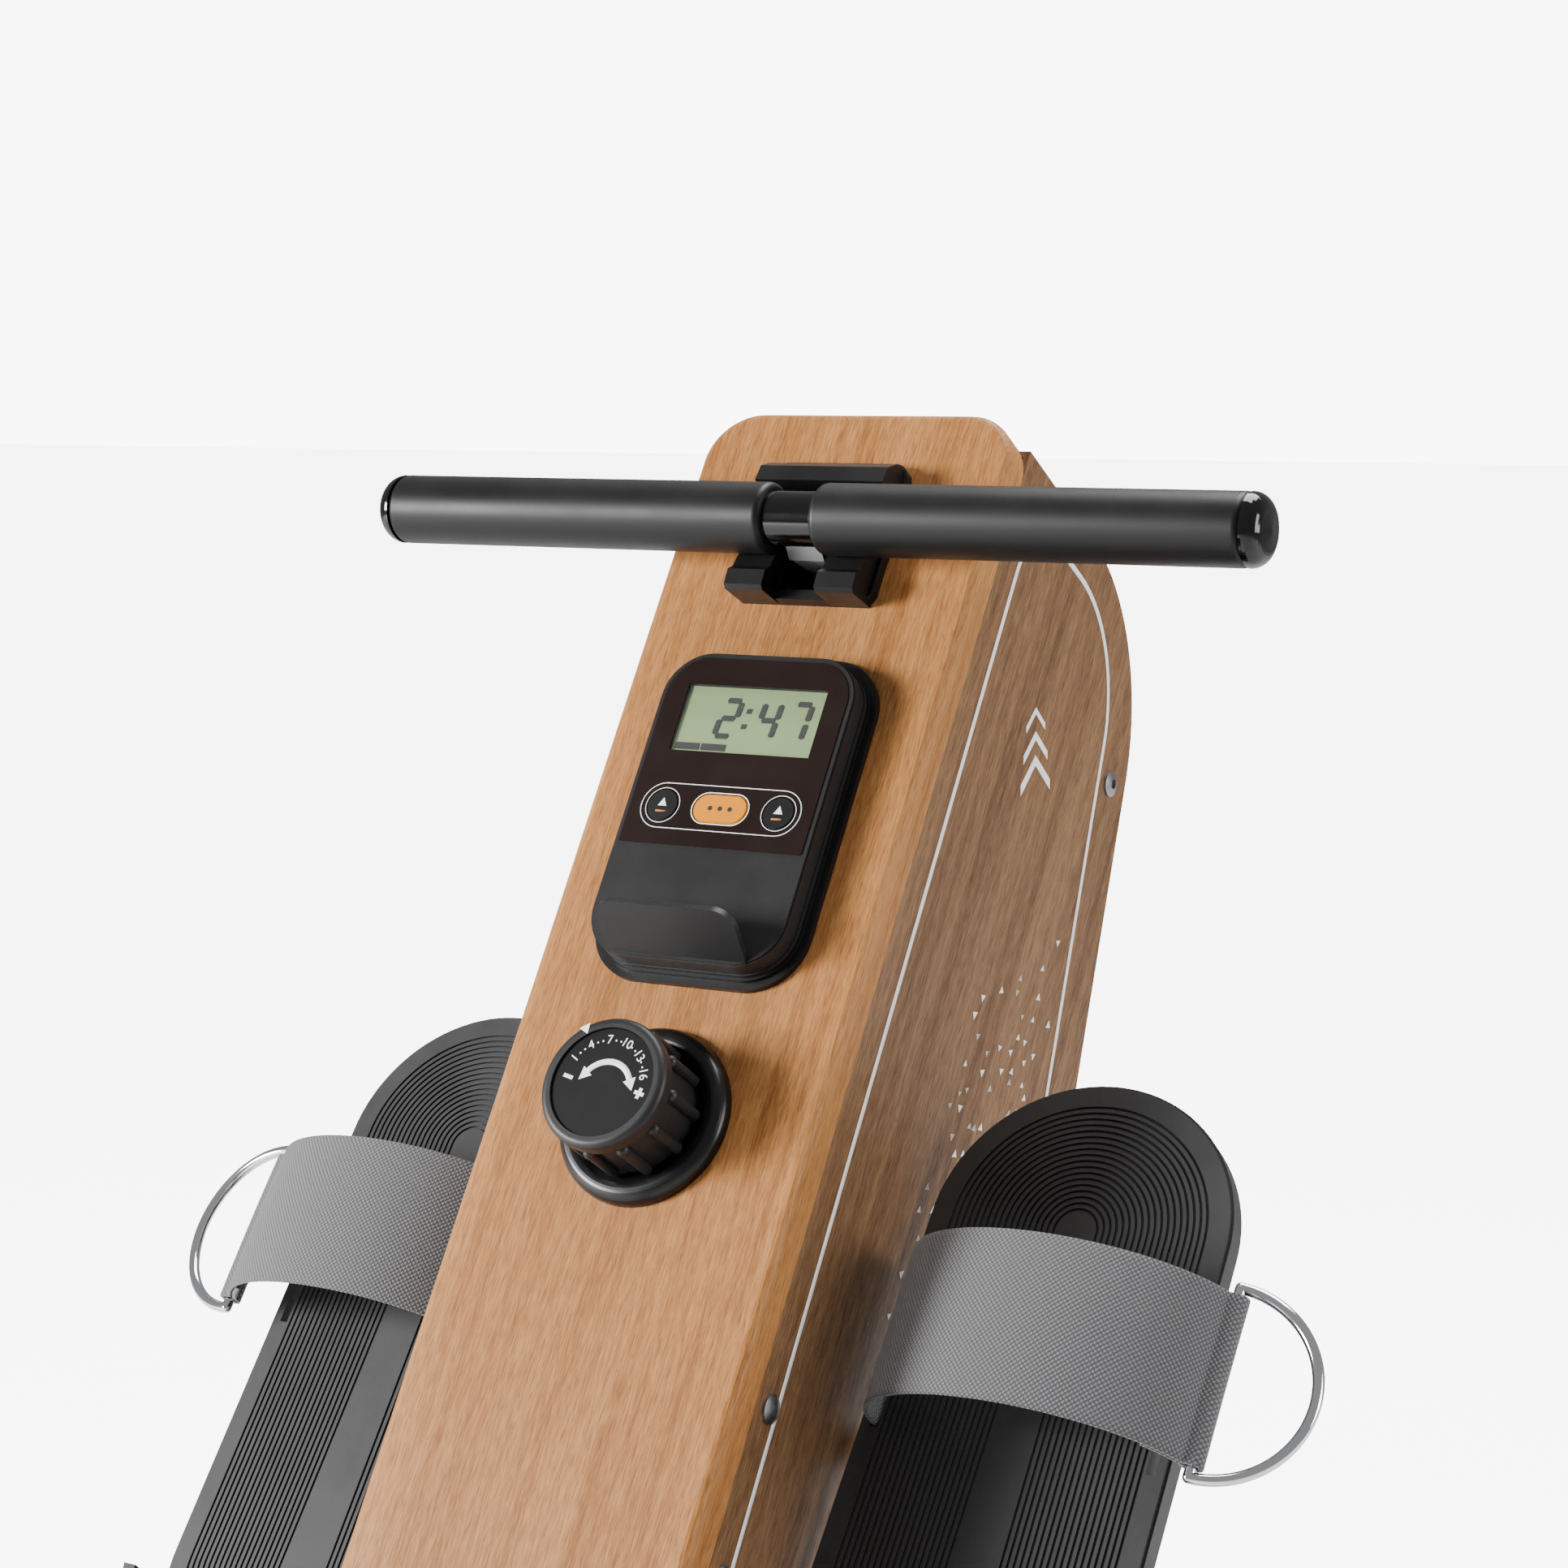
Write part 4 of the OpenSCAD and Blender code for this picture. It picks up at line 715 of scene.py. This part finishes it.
for i, (label, turn) in enumerate((("minus", -12), ("plus", -12), ("plus", 78))):
    loop = turned(bar, turn) + np.array(signs[label])
    printShape("dialSign" + str(i), [loop], onDial(dialTop + i * 0.00001), printWhite, "frame")
pointer = turned(np.array([[-0.0026, 0.0285], [0.0026, 0.0285], [0.0, 0.0243]]), dial["pointerTurn"])
printShape("knobPointer", [pointer], onDial(dial["ringTop"] + printLift), printWhite, "knob")
print("dial made")

# ---- foot straps ----
footStrap = {"width": 0.074, "thickness": 0.0022, "archX": 0.012, "archA": 0.076, "archH": 0.052,
             "archZ": 0.0015, "hemRadius": 0.0040, "hemAngle": 16.0, "hemShift": 0.001, "slotDepth": 0.009,
             "foldGap": 0.0026, "crown": 0.0016, "edge": 0.0006}
pedalRise = math.radians(52)  # the pedal's slope at rest
pedalUp = np.array([0.0, math.cos(pedalRise), math.sin(pedalRise)])
pedalOut = np.array([0.0, -math.sin(pedalRise), math.cos(pedalRise)])


def onArch(degrees, inset=0.0):  # a point of the flattened half ellipse, seen from the pedal's end
    angle = np.radians(degrees)
    return np.stack([footStrap["archX"] + (footStrap["archA"] - inset) * np.cos(angle),
                     footStrap["archZ"] + (footStrap["archH"] - inset) * np.sin(angle)], -1)


hem = onArch(footStrap["hemAngle"]) + np.array([footStrap["hemShift"], -footStrap["hemShift"]])


# the strap's side view: up out of the slot, over the arch, round the ring's bar and back under itself
def strapProfile():
    s = footStrap
    slot = np.stack([np.full(5, s["archX"] - s["archA"]), np.linspace(-s["slotDepth"], s["archZ"], 6)[:-1]],
                    -1)
    arch = onArch(np.linspace(180, s["hemAngle"] + 4, 56))
    loop = arcPoints(hem, s["hemRadius"], 62, -205, 22)
    inner = onArch(np.linspace(s["hemAngle"] + 7, s["hemAngle"] + 22, 8), s["foldGap"])
    return np.concatenate([slot, arch, loop, inner])


def pathLength(path):  # the way covered up to each point
    return np.concatenate([[0], np.cumsum(np.linalg.norm(np.diff(path, axis=0), axis=1))])


def makeFootStrap(side, label):
    joint = joints[label + "_ring_swing"]
    profile = strapProfile()
    length = pathLength(profile)
    v = np.linspace(-0.5, 0.5, 25)
    crown = footStrap["crown"] * (1 - (2 * v) ** 2)  # the band stands a little higher along its middle
    lift = np.clip(profile[:, 1] / footStrap["archH"], 0, 1)
    x = (profile[:, 0] - hem[0])[:, None] + 0 * v
    n = (profile[:, 1] - hem[1])[:, None] + lift[:, None] * crown[None]
    along = np.broadcast_to(v[None] * footStrap["width"], x.shape)
    points = np.array(joint["pos_m"]) + side * x[..., None] * across
    points = points + along[..., None] * pedalUp + n[..., None] * pedalOut
    uv = np.stack([np.broadcast_to(length[:, None], x.shape), along], -1)
    piece = gridObject(label + "FootStrap", points, webbingGrey, label + "_pedal", uv=uv)
    solidify(piece, footStrap["thickness"])
    soften = piece.modifiers.new("edge", "BEVEL")
    soften.width, soften.segments, soften.limit_method = footStrap["edge"], 2, "ANGLE"
    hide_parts(label + "_foot_strap")


for side, label in ((-1, "left"), (1, "right")):
    makeFootStrap(side, label)
print("foot straps made")

# ---- pull strap ----
pullStrap = {"width": 0.020, "thickness": 0.0018, "coilLane": 0.0452, "guideLane": 0.0132,
             "clipReach": 0.020, "clipAngle": 240}


# up from the drum's tangent, round the guide roller and straight to the clip behind the handle's tube
def pullPath():
    drum = np.array(joints["drum_spin"]["pos_m"][1:])
    guide = np.array(joints["guide_spin"]["pos_m"][1:])
    tubeLow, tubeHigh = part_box("handle_tube")
    tube = (np.array(tubeLow) + np.array(tubeHigh))[1:] / 2
    clipAngle = math.pi / 2 - faceLean + math.radians(pullStrap["clipAngle"])
    clip = tube + pullStrap["clipReach"] * np.array([math.cos(clipAngle), math.sin(clipAngle)])
    toClip, toGuide = clip - guide, guide - drum
    clipWay = math.atan2(toClip[1], toClip[0]) - math.acos(pullStrap["guideLane"] / np.linalg.norm(toClip))
    laneStep = pullStrap["coilLane"] - pullStrap["guideLane"]
    drumWay = math.atan2(toGuide[1], toGuide[0]) - math.acos(laneStep / np.linalg.norm(toGuide))
    start = drum + pullStrap["coilLane"] * np.array([math.cos(drumWay), math.sin(drumWay)])
    wrap = arcPoints(guide, pullStrap["guideLane"], math.degrees(drumWay), math.degrees(clipWay), 14)
    rise = start + (wrap[0] - start) * np.linspace(0, 1, 24)[:-1, None]
    run = wrap[-1] + (clip - wrap[-1]) * np.linspace(0, 1, 30)[1:, None]
    return np.concatenate([rise, wrap, run]), wrap[-1], clip


def strapBand(name, path, thickness, body):  # a flat band along a path in the machine's middle plane
    points = np.empty((len(path), 9, 3))
    points[..., 0] = np.linspace(-0.5, 0.5, 9)[None] * pullStrap["width"]
    points[..., 1:] = path[:, None]
    uv = np.stack([np.broadcast_to(pathLength(path)[:, None], points.shape[:2]), points[..., 0]], -1)
    return solidify(gridObject(name, points, webbingDark, body, uv=uv), thickness)


def makePullStrap():
    path, leave, clip = pullPath()
    piece = strapBand("pullStrap", path, pullStrap["thickness"], None)
    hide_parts("pull_strap")
    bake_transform(piece)


makePullStrap()
print("pull strap made")

# ---- the strap wound on its drum ----
woundStrap = {"innerRadius": 0.0310, "outerRadius": 0.0432, "turns": 7, "thickness": 0.0016}


# a flat spiral: the radius grows evenly with the angle
def makeWoundStrap():
    centre = joints["drum_spin"]["pos_m"]
    share = np.linspace(0, 1, woundStrap["turns"] * 48 + 1)
    angle = 2 * math.pi * woundStrap["turns"] * share
    radius = woundStrap["innerRadius"] + (woundStrap["outerRadius"] - woundStrap["innerRadius"]) * share
    path = np.stack([centre[1] + radius * np.cos(angle), centre[2] + radius * np.sin(angle)], -1)
    piece = strapBand("woundStrap", path, woundStrap["thickness"], "drum")
    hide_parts("wound_strap")


makeWoundStrap()
print("wound strap made")

# ---- seat ----
seat = {"squareness": 3.4, "hollow": 0.010, "groove": 0.006, "rings": 44, "turns": 120,
        "hollowX": 0.07, "hollowY": -0.012, "hollowWide": 0.062, "hollowLong": 0.075, "grooveWide": 0.016}


# a superellipse outline swept from the middle of the top, over a round edge, to the middle of the underside
def makeSeat():
    low, high = (np.array(corner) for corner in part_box("seat_pad"))
    centre, half = (low + high) / 2, (high - low) / 2
    angle = np.linspace(0, 2 * np.pi, seat["turns"], endpoint=False)
    c, s = np.cos(angle), np.sin(angle)
    reach = (np.abs(c) ** seat["squareness"] + np.abs(s) ** seat["squareness"]) ** (-1 / seat["squareness"])
    rise = np.linspace(0, 1, seat["rings"])
    top = np.minimum(rise / 0.45, 1)
    under = np.clip((rise - 0.62) / 0.38, 0, 1)
    turn = np.clip((rise - 0.40) / 0.25, 0, 1) * np.pi
    radius = np.where(rise < 0.45, top * 0.93,
                      np.where(rise < 0.62, 0.93 + 0.07 * np.sin(turn), 0.93 * (1 - under)))
    level = np.where(rise < 0.45, 1 - 0.06 * top ** 4, np.where(rise < 0.62, 0.94 * np.cos(turn), -1.0))
    level = np.clip(level, -1, 1)
    x = radius[:, None] * reach * c * half[0]
    y = radius[:, None] * reach * s * half[1]
    z = np.broadcast_to(level[:, None], x.shape) * half[2]
    topMask = np.clip(level, 0, 1)[:, None]
    # two hollows for the sitter and a groove between them that fades out towards the back
    hollows = sum(np.exp(-(((x - side * seat["hollowX"]) / seat["hollowWide"]) ** 2
                           + ((y - seat["hollowY"]) / seat["hollowLong"]) ** 2)) for side in (-1, 1))
    groove = np.exp(-((x / seat["grooveWide"]) ** 2)) * np.clip((y + 0.07) / 0.05, 0, 1)
    z = z - topMask * (seat["hollow"] * hollows + seat["groove"] * groove)
    points = np.stack([x, y, z], -1) + centre
    piece = closeUp(gridObject("seatCushion", points, seatSkin, "seat", wrapColumns=True))
    swell = piece.modifiers.new("smooth", "SUBSURF")
    swell.levels = swell.render_levels = 1
    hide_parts("seat_pad")


makeSeat()
print("seat made")

# ---- stage, light and camera ----
studio = {"seen": 9.0, "lighting": 0.34, "floorSeen": 6.5, "floorHalf": 30}
lamps = {"keyLight": {"from": (-2.3, -2.1, 0.6), "width": 1.0, "power": 270},
         "topLight": {"from": (0.1, 0.9, 2.1), "width": 1.5, "power": 95},
         "edgeLight": {"from": (2.6, 0.5, 0.6), "width": 1.2, "power": 48}}
floorFinish = Shader("paleFloor")
floorFinish.put(Base_Color=srgb(240, 240, 240), Roughness=0.9, Specular_IOR_Level=0.0,
                Emission_Color=(1.0, 1.0, 1.0, 1.0))
seenFloor = floorFinish.add("Math", _operation="MULTIPLY",
                            i0=floorFinish.add("LightPath").outputs["Is Camera Ray"],
                            i1=studio["floorSeen"])
floorFinish.wire(seenFloor.outputs[0], "Emission Strength")
floorPoints = np.array([[-1, -1, 0], [1, -1, 0], [1, 1, 0], [-1, 1, 0]], float) * studio["floorHalf"]
floor = meshObject("floor", floorPoints, [range(4)], floorFinish.material, None, smooth=False)

world = bpy.data.worlds.new("studio")
world.use_nodes = True
seenSky = world.node_tree.nodes["Background"]
seenSky.inputs["Color"].default_value = (1.0, 1.0, 1.0, 1.0)
seenSky.inputs["Strength"].default_value = studio["seen"]
litSky = world.node_tree.nodes.new("ShaderNodeBackground")
litSky.inputs["Color"].default_value = (1.0, 1.0, 1.0, 1.0)
litSky.inputs["Strength"].default_value = studio["lighting"]
skyMix = world.node_tree.nodes.new("ShaderNodeMixShader")
cameraRay = world.node_tree.nodes.new("ShaderNodeLightPath").outputs["Is Camera Ray"]
world.node_tree.links.new(cameraRay, skyMix.inputs[0])
world.node_tree.links.new(litSky.outputs[0], skyMix.inputs[1])
world.node_tree.links.new(seenSky.outputs[0], skyMix.inputs[2])
world.node_tree.links.new(skyMix.outputs[0], world.node_tree.nodes["World Output"].inputs["Surface"])
bpy.context.scene.world = world


def softLight(name, place, target, width, power):
    light = bpy.data.lights.new(name, "AREA")
    light.size, light.energy = width, power
    holder = bpy.data.objects.new(name, light)
    bpy.context.scene.collection.objects.link(holder)
    way = np.array(target, float) - np.array(place, float)
    holder.location = place
    holder.rotation_euler = (math.atan2(math.hypot(way[0], way[1]), -way[2]), 0, math.atan2(-way[0], way[1]))


middle = faceTop - 0.3 * faceUp
for name, lamp in lamps.items():
    softLight(name, middle + np.array(lamp["from"]), middle, lamp["width"], lamp["power"])

view = {"azimuth": 30.47, "down": 6.84, "lens": 78.17, "sensor": 36.0,
        "from": (0.76575, -1.37574, 0.01673)}  # measured from the face's top edge
camera = bpy.data.cameras.new("camera")
camera.lens, camera.sensor_width = view["lens"], view["sensor"]
camera.clip_start, camera.clip_end = 0.05, 200
cameraHolder = bpy.data.objects.new("camera", camera)
bpy.context.scene.collection.objects.link(cameraHolder)
cameraHolder.location = faceTop + np.array(view["from"])
cameraHolder.rotation_euler = (math.radians(90 - view["down"]), 0, math.radians(view["azimuth"]))
bpy.context.scene.camera = cameraHolder
print("stage, light and camera set")
